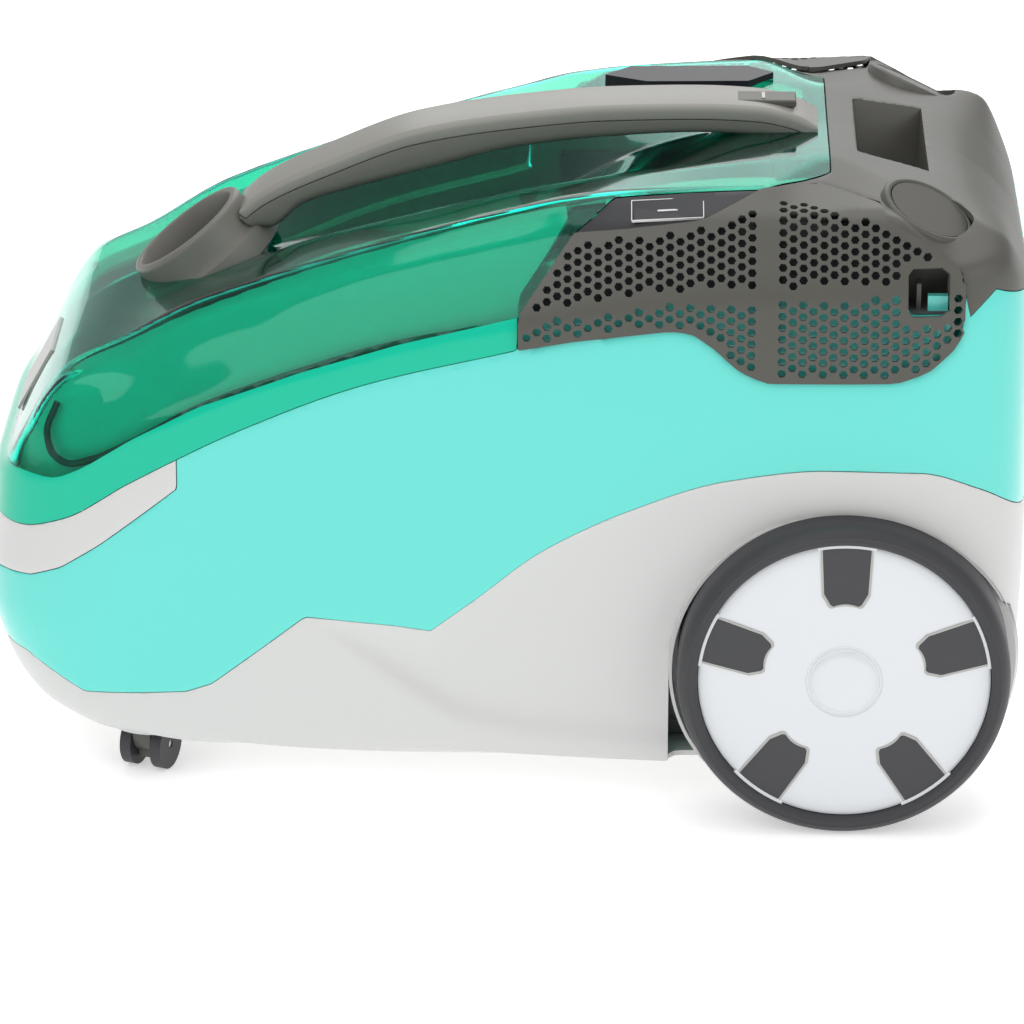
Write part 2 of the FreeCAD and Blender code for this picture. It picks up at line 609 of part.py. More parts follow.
# ---------------------------------------------------------------- rolling gear
WHEEL_BORE = "( axle_radius + running_gap )"
for side, label in ((-1, "left"), (1, "right")):
    out = ACROSS * side
    face = side * size("track") / 2
    inside = face - side * size("wheel_width")
    centre = (size("wheel_x"), inside, size("wheel_radius"))
    tyre = turned(label + "_tyre", [("( wheel_radius - tyre_depth )", "wheel_radius", "0.001",
                                     "wheel_width")],
                  centre, out)
    node(tyre, label + "_tyre")
    disc = turned(label + "_wheel_disc",
                  [(WHEEL_BORE, "( wheel_radius - tyre_depth )",
                    "( wheel_width - disc_recess - disc_width )",
                    "( wheel_width - disc_recess )"),
                   ("14", "( wheel_radius - tyre_depth - 5 )",
                    "( wheel_width - disc_recess - disc_width - 1 )", "( wheel_width - disc_recess - 5 )")],
                  centre, out)
    pads = []
    for index in range(5):
        turn = math.radians(90 + 72 * index)
        pad = Part.makeBox(size("insert_length"), size("insert_width"), size("insert_depth"),
                           Vector(size("insert_inner"), -size("insert_width") / 2, 0))
        pad.rotate(Vector(), UP, math.degrees(turn))
        pads.append(pad)
    recess = size("wheel_width") - size("disc_recess") - size("insert_depth")
    lift = FreeCAD.Placement(Vector(centre[0], inside + side * recess, centre[2]),
                             FreeCAD.Rotation(ALONG, -90 * side))
    pads = [pad.transformed(lift.toMatrix()) for pad in pads]
    formed(label + "_spoke_inserts", Part.makeCompound(pads))
    bed = doc.addObject("Part::Feature", label + "_insert_bed_form")
    bed.Shape = Part.makeCompound(pads)
    node(cut(label + "_disc_cut", disc, bed), label + "_wheel_disc")
    cap_start = (centre[0], face - side * size("disc_recess"), centre[2])
    node(rod(label + "_cap", "hub_radius", "hub_height", cap_start, out), label + "_hub_cap")

axle_parts = []
for side, label in ((-1, "left"), (1, "right")):
    start = (size("wheel_x"), side * (size("well_y") - 13), size("wheel_radius"))
    axle_parts.append(rod(label + "_stub", "axle_radius", "( track / 2 - well_y + 13 - disc_recess - 0.4 )",
                          start, ACROSS * side))
node(fuse("axle_pair", *axle_parts), "wheel_axles")

# A castor is drawn about its own swivel axis, with its axle along its X, and then placed and turned.
AXLE_Z = size("castor_wheel")
FORK_HALF = size("castor_gap") / 2 - 0.5
for side, label in ((-1, "left"), (1, "right")):
    place = FreeCAD.Placement(Vector(size("castor_x"), side * size("castor_y"), 0),
                              FreeCAD.Rotation(UP, size("castor_turn")))
    axle_y = -size("castor_trail")
    stem = rod(label + "_stem", "stem_radius", "28", (0, 0, 27))
    crown = rod(label + "_crown", "9", "7", (0, 0, 27))
    cheek = rod(label + "_cheek", "10", "( castor_gap - 1 )", (-FORK_HALF, axle_y, AXLE_Z + 6), ALONG)
    leg = box(label + "_leg", "( castor_gap - 1 )", "8", "24", (-FORK_HALF, axle_y - 4, 5))
    fork = fuse(label + "_fork_solid", stem, crown, cheek, leg)
    hole = rod(label + "_fork_hole", "2", "40", (-20, axle_y, AXLE_Z), ALONG)
    fork_cut = cut(label + "_fork_cut", fork, hole)
    fork_cut.Placement = place
    node(fork_cut, label + "_castor_fork")
    pair = []
    for offset in (-1, 1):
        low = offset * size("castor_gap") / 2 - (size("castor_tread") if offset < 0 else 0)
        pair.append(rod("%s_roller_%d" % (label, offset + 1), "castor_wheel", "castor_tread",
                        (low, axle_y, AXLE_Z), ALONG))
    rollers = fuse(label + "_rollers", *pair)
    bore = rod(label + "_roller_bore", "( 2 + running_gap )", "60", (-30, axle_y, AXLE_Z), ALONG)
    rollers_cut = cut(label + "_roller_cut", rollers, bore)
    rollers_cut.Placement = place
    node(rollers_cut, label + "_castor_wheels")
    pin = rod(label + "_castor_pin", "2", "( castor_gap + 2 * castor_tread - 1 )",
              (-size("castor_gap") / 2 - size("castor_tread") + 0.5, axle_y, AXLE_Z), ALONG)
    pin.Placement = place.multiply(pin.Placement)
    node(pin, label + "_castor_axle")

# ---------------------------------------------------------------- water tanks and filter
tank_box = box("tank_outside", "tank_length", "( 2 * tank_half )", "tank_height",
               (size("tank_x"), -size("tank_half"), size("tank_floor")))
tank_void = box("tank_inside", "( tank_length - 2 * tank_wall )", "( 2 * tank_half - 2 * tank_wall )",
                "tank_height", (size("tank_x") + size("tank_wall"), -size("tank_half") + size("tank_wall"),
                                size("tank_floor") + size("tank_wall")))
node(cut("tank_tub", tank_box, tank_void), "dirty_water_tank")

tank_top = size("tank_floor") + size("tank_height")
inlet = port_rim - port_axis * ((size("port_z") - tank_top - size("gasket") - size("box_lid")) / port_axis.z)
lid_box = box("filter_lid_slab", "tank_length", "( 2 * tank_half )", "box_lid",
              (size("tank_x"), -size("tank_half"), tank_top + size("gasket")))
lid_hole = rod("filter_lid_hole", "duct_bore", "60", (inlet.x, 0, tank_top - 10))
node(cut("filter_lid_cut", lid_box, lid_hole), "filter_box_lid")
gasket_out = box("gasket_outside", "tank_length", "( 2 * tank_half )", "gasket",
                 (size("tank_x"), -size("tank_half"), tank_top))
gasket_in = box("gasket_inside", "( tank_length - 2 * tank_wall )", "( 2 * tank_half - 2 * tank_wall )",
                "20",
                (size("tank_x") + size("tank_wall"), -size("tank_half") + size("tank_wall"), tank_top - 5))
node(cut("gasket_ring", gasket_out, gasket_in), "tank_gasket")

foam = box("foam_block", "40", "( 2 * tank_half - 8 )", "60",
           (size("tank_x") + size("tank_length") - 50, -size("tank_half") + 4, size("tank_floor") + 30))
node(foam, "foam_filter")

clean_box = box("clean_outside", "clean_length", "( 2 * clean_half )", "clean_height",
                (size("clean_x"), -size("clean_half"), size("clean_floor")))
clean_void = box("clean_inside", "( clean_length - 2 * tank_wall )", "( 2 * clean_half - 2 * tank_wall )",
                 "( clean_height - 2 * tank_wall )",
                 (size("clean_x") + size("tank_wall"), -size("clean_half") + size("tank_wall"),
                  size("clean_floor") + size("tank_wall")))
node(cut("clean_vessel", clean_box, clean_void), "clean_water_tank")
node(rod("filler_cap_form", "15", "6", (size("clean_x") + size("clean_length") / 2, 40,
                                        size("clean_floor") + size("clean_height")), UP), "tank_filler_cap")

pump_can = rod("pump_can", "pump_radius", "pump_length", (size("pump_x"), size("pump_y"), 42), ALONG)
pump_foot = box("pump_foot", "30", "16", "10", (size("pump_x") + 7, size("pump_y") - 8, 24.6))
node(fuse("pump_form", pump_can, pump_foot), "spray_pump")

# ---------------------------------------------------------------- motor, reel and electrics
can = rod("motor_can", "motor_radius", "motor_height", (size("motor_x"), 0, size("motor_floor")))
can_void = rod("motor_void", "( motor_radius - motor_wall )", "( motor_height - 2 * motor_wall )",
               (size("motor_x"), 0, size("motor_floor") + size("motor_wall")))
can_bore = rod("motor_bore", "( shaft_radius + running_gap )", "200", (size("motor_x"), 0, 20))
node(cut("motor_bored", cut("motor_hollow", can, can_void), can_bore), "motor_housing")
shaft = rod("rotor_rod", "shaft_radius", "( motor_height + 6 )", (size("motor_x"), 0,
                                                                  size("motor_floor") - 3))
core = rod("rotor_core", "rotor_radius", "rotor_height", (size("motor_x"), 0, size("motor_floor") + 12))
node(fuse("rotor_form", shaft, core), "rotor_shaft")
fan = rod("fan_disc", "fan_radius", "fan_height", (size("motor_x"), 0, size("motor_floor") + 76))
fan_bore = rod("fan_bore", "shaft_radius", "60", (size("motor_x"), 0, size("motor_floor") + 60))
node(cut("fan_form", fan, fan_bore), "fan_impeller")
rings = []
for name, low in (("lower", size("motor_floor") - size("mount_height")),
                  ("upper", size("motor_floor") + size("motor_height"))):
    ring_out = rod(name + "_mount_out", "mount_outer", "mount_height", (size("motor_x"), 0, low))
    ring_in = rod(name + "_mount_in", "mount_inner", "mount_height", (size("motor_x"), 0, low))
    rings.append(cut(name + "_mount", ring_out, ring_in))
node(fuse("mount_pair", *rings), "motor_mounts")

reel_plate = box("reel_plate", "3", "110", "150", (size("reel_x") - 5, -55, 24.6))
reel_pin = rod("reel_pin_rod", "reel_pin", "( reel_width + 6 )", (size("reel_x") - 3, 0, size("reel_z")),
               ALONG)
node(fuse("reel_stand", reel_plate, reel_pin), "reel_frame")
drum_parts = [rod("drum_core", "reel_core", "reel_width", (size("reel_x"), 0, size("reel_z")), ALONG)]
for name, x in (("front", size("reel_x")), ("back",
                                            size("reel_x") + size("reel_width") - size("reel_flange"))):
    drum_parts.append(rod("drum_" + name, "reel_radius", "reel_flange", (x, 0, size("reel_z")), ALONG))
drum = fuse("drum_solid", *drum_parts)
drum_bore = rod("drum_bore", "( reel_pin + running_gap )", "80", (size("reel_x") - 10, 0,
                                                                  size("reel_z")), ALONG)
node(cut("drum_form", drum, drum_bore), "reel_drum")

gland_start = (228, size("gland_y"), size("gland_z"))
gland = rod("gland_tube", "gland_radius", "15", gland_start, ALONG)
gland_eye = rod("gland_eye", "gland_bore", "40", (218, size("gland_y"), size("gland_z")), ALONG)
gland_form = cut("gland_form", gland, gland_eye)
node(gland_form, "cord_outlet_gland")

node(box("board_form", "board_length", "board_thick", "board_height", (size("board_x"), size("board_y"),
                                                                       196)),
     "control_board")
for side, label in ((-1, "exhaust_filter_left"), (1, "exhaust_filter_right")):
    low_y = size("filter_y") if side > 0 else -size("filter_y") - size("filter_thick")
    node(box(label + "_form", "filter_length", "filter_thick", "filter_height", (size("filter_x"), low_y,
                                                                                 212)),
         label)

screws = [rod("base_screw_%d" % index, "screw_radius", "screw_height", (x, y, size("floor_gap") + 1))
          for index, (x, y) in enumerate(SCREW_SPOTS)]
node(fuse("base_screw_set", *screws), "base_screws")

# ---------------------------------------------------------------- check and write
doc.recompute()
for obj in doc.Objects:
    faults = {"Invalid", "Error"}.intersection(obj.State)
    if faults:
        raise RuntimeError("%s is %s" % (obj.Label, faults))
for obj in nodes:
    if obj.Shape.isNull() or not obj.Shape.isValid() or not obj.Shape.Solids:
        raise RuntimeError("%s has no valid solid" % obj.Label)

os.makedirs("parts", exist_ok=True)
for obj in nodes:
    obj.Shape.exportStep("parts/%s.step" % obj.Label)
    limits = obj.Shape.BoundBox
    print("%-22s solids %d volume %9.0f  x %.1f %.1f  y %.1f %.1f  z %.1f %.1f" % (
        obj.Label, len(obj.Shape.Solids), obj.Shape.Volume, limits.XMin, limits.XMax,
        limits.YMin, limits.YMax, limits.ZMin, limits.ZMax))
print(len(nodes), "sub-parts")
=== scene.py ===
"""Studio view of the washing vacuum: smooth moulded shells, perforated grilles and glossy finishes."""

import math

import bpy
import numpy as np
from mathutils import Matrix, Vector


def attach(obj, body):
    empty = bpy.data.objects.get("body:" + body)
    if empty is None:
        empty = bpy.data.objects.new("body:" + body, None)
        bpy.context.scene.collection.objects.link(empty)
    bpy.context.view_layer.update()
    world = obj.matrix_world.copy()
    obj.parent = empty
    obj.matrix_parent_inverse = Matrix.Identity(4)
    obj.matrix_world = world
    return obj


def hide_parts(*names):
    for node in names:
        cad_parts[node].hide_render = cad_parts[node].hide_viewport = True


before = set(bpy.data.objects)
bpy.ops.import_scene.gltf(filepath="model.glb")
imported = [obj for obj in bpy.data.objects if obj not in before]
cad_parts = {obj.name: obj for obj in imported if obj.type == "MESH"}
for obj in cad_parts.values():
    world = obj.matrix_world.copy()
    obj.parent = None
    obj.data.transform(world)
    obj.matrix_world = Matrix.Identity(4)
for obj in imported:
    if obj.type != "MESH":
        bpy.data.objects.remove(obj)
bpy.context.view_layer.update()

# Lengths below are in millimetres, as in the part's source; MM turns them into metres.
MM = 0.001
GAP = 0.25
SKIN = 2.6
LINING = 1.5
REACH, HALVINGS = 330.0, 26     # how far a ray is followed, and how finely its crossing is found


# ---------------------------------------------------------------- curves and the outer form
def smooth_curve(xs, ys, x):
    """A monotone cubic through (xs, ys), flat beyond its ends."""
    xs, ys = np.asarray(xs, float), np.asarray(ys, float)
    x = np.clip(np.asarray(x, float), xs[0], xs[-1])
    steps = np.diff(xs)
    slopes = np.diff(ys) / steps
    tangents = np.zeros(len(xs))
    same = slopes[:-1] * slopes[1:] > 0
    weight_a = 2 * steps[1:] + steps[:-1]
    weight_b = steps[1:] + 2 * steps[:-1]
    safe_a = np.where(same, slopes[:-1], 1)
    safe_b = np.where(same, slopes[1:], 1)
    tangents[1:-1] = np.where(same, (weight_a + weight_b) / (weight_a / safe_a + weight_b / safe_b), 0)
    tangents[0], tangents[-1] = slopes[0], slopes[-1]
    place = np.clip(np.searchsorted(xs, x, side="right") - 1, 0, len(steps) - 1)
    step = steps[place]
    t = (x - xs[place]) / step
    return ((1 + 2 * t) * (1 - t) ** 2 * ys[place] + t * (1 - t) ** 2 * step * tangents[place]
            + t * t * (3 - 2 * t) * ys[place + 1] + t * t * (t - 1) * step * tangents[place + 1])


def smooth_line(points, x):
    return smooth_curve([p[0] for p in points], [p[1] for p in points], x)


# Plan outlines of the hull: height, nose, tail and how much fuller than the middle it is.
HULL_LEVELS = np.array([
    (22, -206, 225, -5), (34, -224, 233, -2), (55, -236, 238, 1), (85, -243, 242, 4),
    (130, -239, 243, 6), (180, -236, 243, 5), (230, -232, 243, 2), (270, -228, 240, -2),
    (310, -224, 236, -7)], float)
NOSE_ROUNDNESS, TAIL_ROUNDNESS = 5.0, 7.0
HALF_WIDTH, TAPER = 128, 0.06
FLOOR_GAP = 22

# The top form at stations along X: (half width, height) from the side edge to the centre line.
ROOF = [
    (-250, (110, 125), (90, 126), (80, 126), (40, 126), 126),
    (-240, (110, 144), (90, 144), (80, 144), (40, 144), 144),
    (-231, (100, 150), (97, 151), (84, 151), (40, 151), 151),
    (-222, (96, 152), (91, 162), (84, 166), (45, 168), 168),
    (-211, (103, 153), (93, 184), (82, 186), (45, 187), 187),
    (-199, (109, 157), (97, 198), (83, 200), (45, 201), 201),
    (-174, (118, 174), (100, 204), (84, 213), (46, 214), 216),
    (-140, (122, 192), (103, 219), (88, 233), (46, 227), 223),
    (-117, (124, 203), (104, 229), (90, 242), (46, 237), 228),
    (-93, (125, 212), (106, 239), (92, 250), (53, 250), 232),
    (-48, (128, 226), (109, 254), (95, 265), (60, 265), 238),
    (8, (130, 240), (111, 269), (96, 281), (64, 280), 250),
    (32, (131, 245), (112, 274), (97, 287), (66, 285), 262),
    (56, (132, 249), (115, 278), (97, 290), (67, 289), 275),
    (118, (135, 255), (118, 285), (98, 293), (62, 294), 292),
    (150, (136, 256), (119, 286), (56, 294), (50, 294), 293),
    (173, (136, 257), (120, 287), (72, 290), (45, 290), 289),
    (208, (131, 262), (130, 266), (92, 281), (48, 281), 280),
    (228, (118, 268), (116, 269), (104, 273), (50, 268), 266),
    (240, (110, 252), (104, 252), (96, 253), (50, 252), 252),
    (250, (110, 238), (104, 238), (96, 238), (50, 238), 238),
]
ROOF_STEP = 0.5
ROOF_X = np.arange(-250, 250.1, ROOF_STEP)
ROOF_Y = np.arange(0, 170.1, ROOF_STEP)
CREASE_BLUR = 5


def roof_map():
    """Roof heights on a grid over X and |Y|, with softly rounded creases."""
    stations = [row[0] for row in ROOF]
    widths = [smooth_curve(stations, [row[k][0] for row in ROOF], ROOF_X) for k in (4, 3, 2, 1)]
    heights = [smooth_curve(stations, [row[k][1] for row in ROOF], ROOF_X) for k in (4, 3, 2, 1)]
    middle = smooth_curve(stations, [row[5] for row in ROOF], ROOF_X)
    grid = np.empty((len(ROOF_X), len(ROOF_Y)))
    for i in range(len(ROOF_X)):
        ys = [0] + [w[i] for w in widths]
        zs = [middle[i]] + [h[i] for h in heights]
        grid[i] = np.interp(ROOF_Y, ys, zs)
    reach = CREASE_BLUR
    wide = np.concatenate([grid[:, reach:0:-1], grid, np.repeat(grid[:, -1:], reach, 1)], 1)
    grid = np.mean([wide[:, k:k + len(ROOF_Y)] for k in range(2 * reach + 1)], axis=0)
    long = np.concatenate([np.repeat(grid[:1], reach, 0), grid, np.repeat(grid[-1:], reach, 0)], 0)
    return np.mean([long[k:k + len(ROOF_X)] for k in range(2 * reach + 1)], axis=0)


ROOF_GRID = roof_map()
SLOPE_X, SLOPE_Y = np.gradient(ROOF_GRID, ROOF_STEP)
ROOF_STEEP = np.sqrt(1 + SLOPE_X ** 2 + SLOPE_Y ** 2)


def look_up(grid, x, y):
    i = np.clip((x - ROOF_X[0]) / ROOF_STEP, 0, len(ROOF_X) - 1.001)
    j = np.clip(np.abs(y) / ROOF_STEP, 0, len(ROOF_Y) - 1.001)
    a, b = i.astype(int), j.astype(int)
    s, t = i - a, j - b
    return ((1 - s) * (1 - t) * grid[a, b] + s * (1 - t) * grid[a + 1, b]
            + (1 - s) * t * grid[a, b + 1] + s * t * grid[a + 1, b + 1])


def roof_height(x, y):
    return look_up(ROOF_GRID, x, y)


def half_width(x, z):
    level = HULL_LEVELS[:, 0]
    return HALF_WIDTH + TAPER * x + smooth_curve(level, HULL_LEVELS[:, 3], z)


def soft_max(a, b, radius):
    """The larger of two distances, rounded where they are close."""
    blend = np.clip(0.5 + 0.5 * (a - b) / radius, 0, 1)
    return a * blend + b * (1 - blend) + radius * blend * (1 - blend)


def outside(x, y, z, inset=0.0):
    """Rough signed distance from the outer form, moved inwards by inset."""
    level = HULL_LEVELS[:, 0]
    tail = smooth_curve(level, HULL_LEVELS[:, 2], z)
    nose = -smooth_curve(level, HULL_LEVELS[:, 1], z)
    reach = np.where(x > 0, tail, nose) - inset
    power = np.where(x > 0, TAIL_ROUNDNESS, NOSE_ROUNDNESS)
    half = half_width(x, z) - inset
    ratio = (np.abs(x / reach) ** power + np.abs(y / half) ** power) ** (1 / power)
    wall = (ratio - 1) * half
    top = (z - roof_height(x, y) + inset * 1.1) / look_up(ROOF_STEEP, x, y)
    bottom = FLOOR_GAP + inset - z
    return soft_max(soft_max(wall, top, 4.0), bottom, 3.0)


SPINE_START, SPINE_END, SPINE_HEIGHT = -150, 160, 112


def shell_grid(inset=0.0, columns=(74, 130, 80), rows=150):
    """The half of the outer form with Y >= 0, met by rays that leave a spine inside it."""
    fan_a, straight, fan_b = columns
    plan = np.concatenate([np.linspace(0, 90, fan_a, endpoint=False), np.full(straight, 90.0),
                           np.linspace(90, 180, fan_b)])
    start = np.concatenate([np.full(fan_a, float(SPINE_START)),
                            np.linspace(SPINE_START, SPINE_END, straight, endpoint=False),
                            np.full(fan_b, float(SPINE_END))])
    lift = np.concatenate([np.linspace(-90, -15, rows // 4, endpoint=False),
                           np.linspace(-15, 90, rows - rows // 4)])
    plan, start = np.radians(plan)[:, None], start[:, None]
    lift = np.radians(lift)[None, :]
    dx = -np.cos(plan) * np.cos(lift)
    dy = np.sin(plan) * np.cos(lift)
    dz = np.sin(lift) + 0 * plan
    dy[np.abs(dy) < 1e-9] = 0
    low, high = np.zeros(dx.shape), np.full(dx.shape, REACH)
    for _ in range(HALVINGS):
        mid = (low + high) / 2
        out = outside(start + dx * mid, dy * mid, SPINE_HEIGHT + dz * mid, inset) > 0
        high = np.where(out, mid, high)
        low = np.where(out, low, mid)
    mid = (low + high) / 2
    points = np.stack([start + dx * mid, dy * mid, SPINE_HEIGHT + dz * mid], -1)
    count_u, count_v = dx.shape
    index = np.arange(count_u * count_v).reshape(count_u, count_v)
    faces = np.stack([index[:-1, :-1], index[:-1, 1:], index[1:, 1:], index[1:, :-1]], -1).reshape(-1, 4)
    return points.reshape(-1, 3), faces.tolist()


def side_y(x, z, inset=0.0):
    """Half width of the form at a place in the side view."""
    x, z = np.asarray(x, float), np.asarray(z, float)
    low, high = np.zeros(x.shape), np.full(x.shape, 165.0)
    for _ in range(24):
        mid = (low + high) / 2
        out = outside(x, mid, z, inset) > 0
        high = np.where(out, mid, high)
        low = np.where(out, low, mid)
    return (low + high) / 2


# ---------------------------------------------------------------- mesh helpers
def weld(points, faces):
    """Drop unused vertices and merge those that share a place."""
    keys, remap, kept = {}, {}, []
    result = []
    for face in faces:
        loop = []
        for index in face:
            if index not in remap:
                key = tuple(np.round(points[index], 4))
                if key not in keys:
                    keys[key] = len(kept)
                    kept.append(points[index])
                remap[index] = keys[key]
            if not loop or loop[-1] != remap[index]:
                loop.append(remap[index])
        if len(loop) > 1 and loop[0] == loop[-1]:
            loop.pop()
        if len(loop) > 2:
            result.append(loop)
    return np.array(kept), result


def clip(mesh, values):
    """The part of a mesh where the values given for its vertices are positive."""
    points, faces = mesh
    inside = values > 0
    extra, cache, result = [], {}, []
    for face in faces:
        flags = [inside[i] for i in face]
        if all(flags):
            result.append(face)
            continue
        if not any(flags):
            continue
        loop = []
        for here, there in zip(face, face[1:] + face[:1]):
            if inside[here]:
                loop.append(here)
            if inside[here] != inside[there]:
                key = (min(here, there), max(here, there))
                if key not in cache:
                    a, b = values[key[0]], values[key[1]]
                    share = a / (a - b)
                    cache[key] = len(points) + len(extra)
                    extra.append(points[key[0]] * (1 - share) + points[key[1]] * share)
                loop.append(cache[key])
        if len(loop) > 2:
            result.append(loop)
    if extra:
        points = np.concatenate([points, np.array(extra)])
    return weld(points, result)


def keep(mesh, region):
    return clip(mesh, region(mesh[0][:, 0], mesh[0][:, 1], mesh[0][:, 2]))


def mirrored(mesh):
    """A mesh with its copy across Y = 0, joined on the centre line."""
    points, faces = mesh
    flipped = points * np.array([1, -1, 1])
    count = len(points)
    joined = np.concatenate([points, flipped])
    other = [[i + count for i in reversed(face)] for face in faces]
    return weld(joined, faces + other)


def normals_of(points, faces):
    total = np.zeros_like(points)
    for face in faces:
        spots = points[face]
        normal = np.zeros(3)
        for a, b in zip(spots, np.roll(spots, -1, 0)):
            normal += np.cross(a, b)
        total[face] += normal
    length = np.linalg.norm(total, axis=1)
    length[length == 0] = 1
    return total / length[:, None]


def thickened(mesh, depth, sink=0.25):
    """A closed shell below an open surface, its edge slightly rolled over."""
    points, faces = mesh
    normals = normals_of(points, faces)
    edges = {}
    for face in faces:
        for a, b in zip(face, face[1:] + face[:1]):
            edges[(a, b)] = True
    border = [(a, b) for a, b in edges if (b, a) not in edges]
    rim = sorted({i for edge in border for i in edge})
    outer = points.copy()
    outer[rim] -= normals[rim] * sink
    count = len(points)
    inner = points - normals * depth
    result = list(faces) + [[i + count for i in reversed(face)] for face in faces]
    result += [[b, a, a + count, b + count] for a, b in border]
    return np.concatenate([outer, inner]), result


def build(name, mesh, material, body, smooth=True, angle=38):
    points, faces = mesh
    data = bpy.data.meshes.new(name)
    data.from_pydata([tuple(p) for p in np.asarray(points) * MM], [], [list(f) for f in faces])
    data.validate()
    data.update()
    if smooth:
        data.polygons.foreach_set("use_smooth", [True] * len(data.polygons))
        data.set_sharp_from_angle(angle=math.radians(angle))
    obj = bpy.data.objects.new(name, data)
    bpy.context.scene.collection.objects.link(obj)
    data.materials.append(material)
    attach(obj, body)
    return obj


def joined(*meshes):
    points, faces, count = [], [], 0
    for more_points, more_faces in meshes:
        points.append(np.asarray(more_points, float))
        faces += [[i + count for i in face] for face in more_faces]
        count += len(more_points)
    return np.concatenate(points), faces


def bevel(obj, width, segments=2, angle=30):
    """Rounded edges on a piece; width in millimetres."""
    mod = obj.modifiers.new("edge_rounding", "BEVEL")
    mod.width = width * MM
    mod.segments = segments
    mod.limit_method = "ANGLE"
    mod.angle_limit = math.radians(angle)
    mod.harden_normals = True
    for polygon in obj.data.polygons:
        polygon.use_smooth = True
    return obj


def lathe(profile, steps=96):
    """A closed ring about the Z axis from a closed profile of (radius, height)."""
    count = len(profile)
    turns = np.arange(steps) * 2 * math.pi / steps
    points = [(r * math.cos(t), r * math.sin(t), z) for t in turns for r, z in profile]
    faces = []
    for i in range(steps):
        for k in range(count):
            a, b = i * count + k, i * count + (k + 1) % count
            c, d = ((i + 1) % steps) * count + (k + 1) % count, ((i + 1) % steps) * count + k
            faces.append([a, d, c, b])
    return np.array(points), faces


def placed(mesh, spot, along):
    """A mesh made about Z, stood on a spot with its Z along a direction."""
    matrix = np.array(Vector(along).to_track_quat("Z", "Y").to_matrix())
    return np.asarray(mesh[0]) @ matrix.T + np.array(spot), mesh[1]


def prism(outline, low, high):
    """A closed block over a plan outline."""
    count = len(outline)
    points = [(x, y, low) for x, y in outline] + [(x, y, high) for x, y in outline]
    faces = [list(range(count - 1, -1, -1)), list(range(count, 2 * count))]
    faces += [[i, (i + 1) % count, count + (i + 1) % count, count + i] for i in range(count)]
    return np.array(points, float), faces


def block(low, high):
    corners = [(low[0], low[1]), (high[0], low[1]), (high[0], high[1]), (low[0], high[1])]
    return prism(corners, low[2], high[2])


def tube(path, radius, sides=12):
    """A round bar along points, closed at both ends."""
    path = [Vector(p) for p in path]
    points, faces = [], []
    for i, spot in enumerate(path):
        ahead = path[min(i + 1, len(path) - 1)] - path[max(i - 1, 0)]
        turn = ahead.to_track_quat("Z", "Y").to_matrix()
        for k in range(sides):
            a = 2 * math.pi * k / sides
            points.append(spot + turn @ Vector((radius * math.cos(a), radius * math.sin(a), 0)))
    for i in range(len(path) - 1):
        for k in range(sides):
            a, b = i * sides + k, i * sides + (k + 1) % sides
            faces.append([a, b, b + sides, a + sides])
    faces.append(list(range(sides - 1, -1, -1)))
    faces.append([(len(path) - 1) * sides + k for k in range(sides)])
    return np.array([tuple(p) for p in points]), faces


# ---------------------------------------------------------------- materials
def material(name, color, roughness, metallic=0.0, coat=0.0, transmission=0.0, ior=1.5, grain=0.0,
             grain_scale=900.0, variation=0.0, emission=0.0):
    mat = bpy.data.materials.new(name)
    mat.use_nodes = True
    tree = mat.node_tree
    shader = tree.nodes["Principled BSDF"]
    shader.inputs["Base Color"].default_value = (*color, 1)
    shader.inputs["Roughness"].default_value = roughness
    shader.inputs["Metallic"].default_value = metallic
    shader.inputs["Coat Weight"].default_value = coat
    shader.inputs["Coat Roughness"].default_value = 0.06
    shader.inputs["Transmission Weight"].default_value = transmission
    shader.inputs["IOR"].default_value = ior
    if emission:
        shader.inputs["Emission Color"].default_value = (*color, 1)
        shader.inputs["Emission Strength"].default_value = emission
    place = tree.nodes.new("ShaderNodeTexCoord")
    if variation:
        cloud = tree.nodes.new("ShaderNodeTexNoise")
        cloud.inputs["Scale"].default_value = 14
        cloud.inputs["Detail"].default_value = 3
        tree.links.new(place.outputs["Object"], cloud.inputs["Vector"])
        spread = tree.nodes.new("ShaderNodeMapRange")
        spread.inputs["To Min"].default_value = roughness - variation
        spread.inputs["To Max"].default_value = roughness + variation
        tree.links.new(cloud.outputs["Fac"], spread.inputs["Value"])
        tree.links.new(spread.outputs["Result"], shader.inputs["Roughness"])
    if grain:
        dust = tree.nodes.new("ShaderNodeTexNoise")
        dust.inputs["Scale"].default_value = grain_scale
        dust.inputs["Detail"].default_value = 2
        tree.links.new(place.outputs["Object"], dust.inputs["Vector"])
        bump = tree.nodes.new("ShaderNodeBump")
        bump.inputs["Strength"].default_value = grain
        bump.inputs["Distance"].default_value = 0.0002
        tree.links.new(dust.outputs["Fac"], bump.inputs["Height"])
        tree.links.new(bump.outputs["Normal"], shader.inputs["Normal"])
    return mat


TURQUOISE = material("turquoise_gloss", (0.13, 0.74, 0.66), 0.22, coat=0.25, variation=0.04)
LIGHT_GREY = material("light_grey_satin", (0.66, 0.66, 0.65), 0.34, grain=0.05, variation=0.05)
WARM_GREY = material("warm_grey_satin", (0.088, 0.086, 0.074), 0.40, grain=0.08, variation=0.05)
SILVER = material("silver_grey", (0.42, 0.42, 0.40), 0.30, metallic=0.35, variation=0.05)
# The handle's top cap is a lighter copy of the grip grey: a painted highlight for light falling on its top.
# GRIP_SIDE is the handle's own grey.
HANDLE_TOP_PAINTED_HIGHLIGHT = material("handle_top_painted_highlight", (0.27, 0.265, 0.24), 0.36, grain=0.06, variation=0.05)
GRIP_SIDE = material("grip_side_grey", (0.17, 0.167, 0.148), 0.40, grain=0.06, variation=0.05)
DARK_PANEL = material("dark_panel", (0.014, 0.015, 0.020), 0.42, variation=0.05)
EMERALD = material("emerald_clear", (0.0, 0.84, 0.62), 0.05, transmission=1.0, ior=1.38)
GREEN_BAND = material("green_band", (0.0, 0.74, 0.48), 0.12, transmission=0.3, ior=1.4)
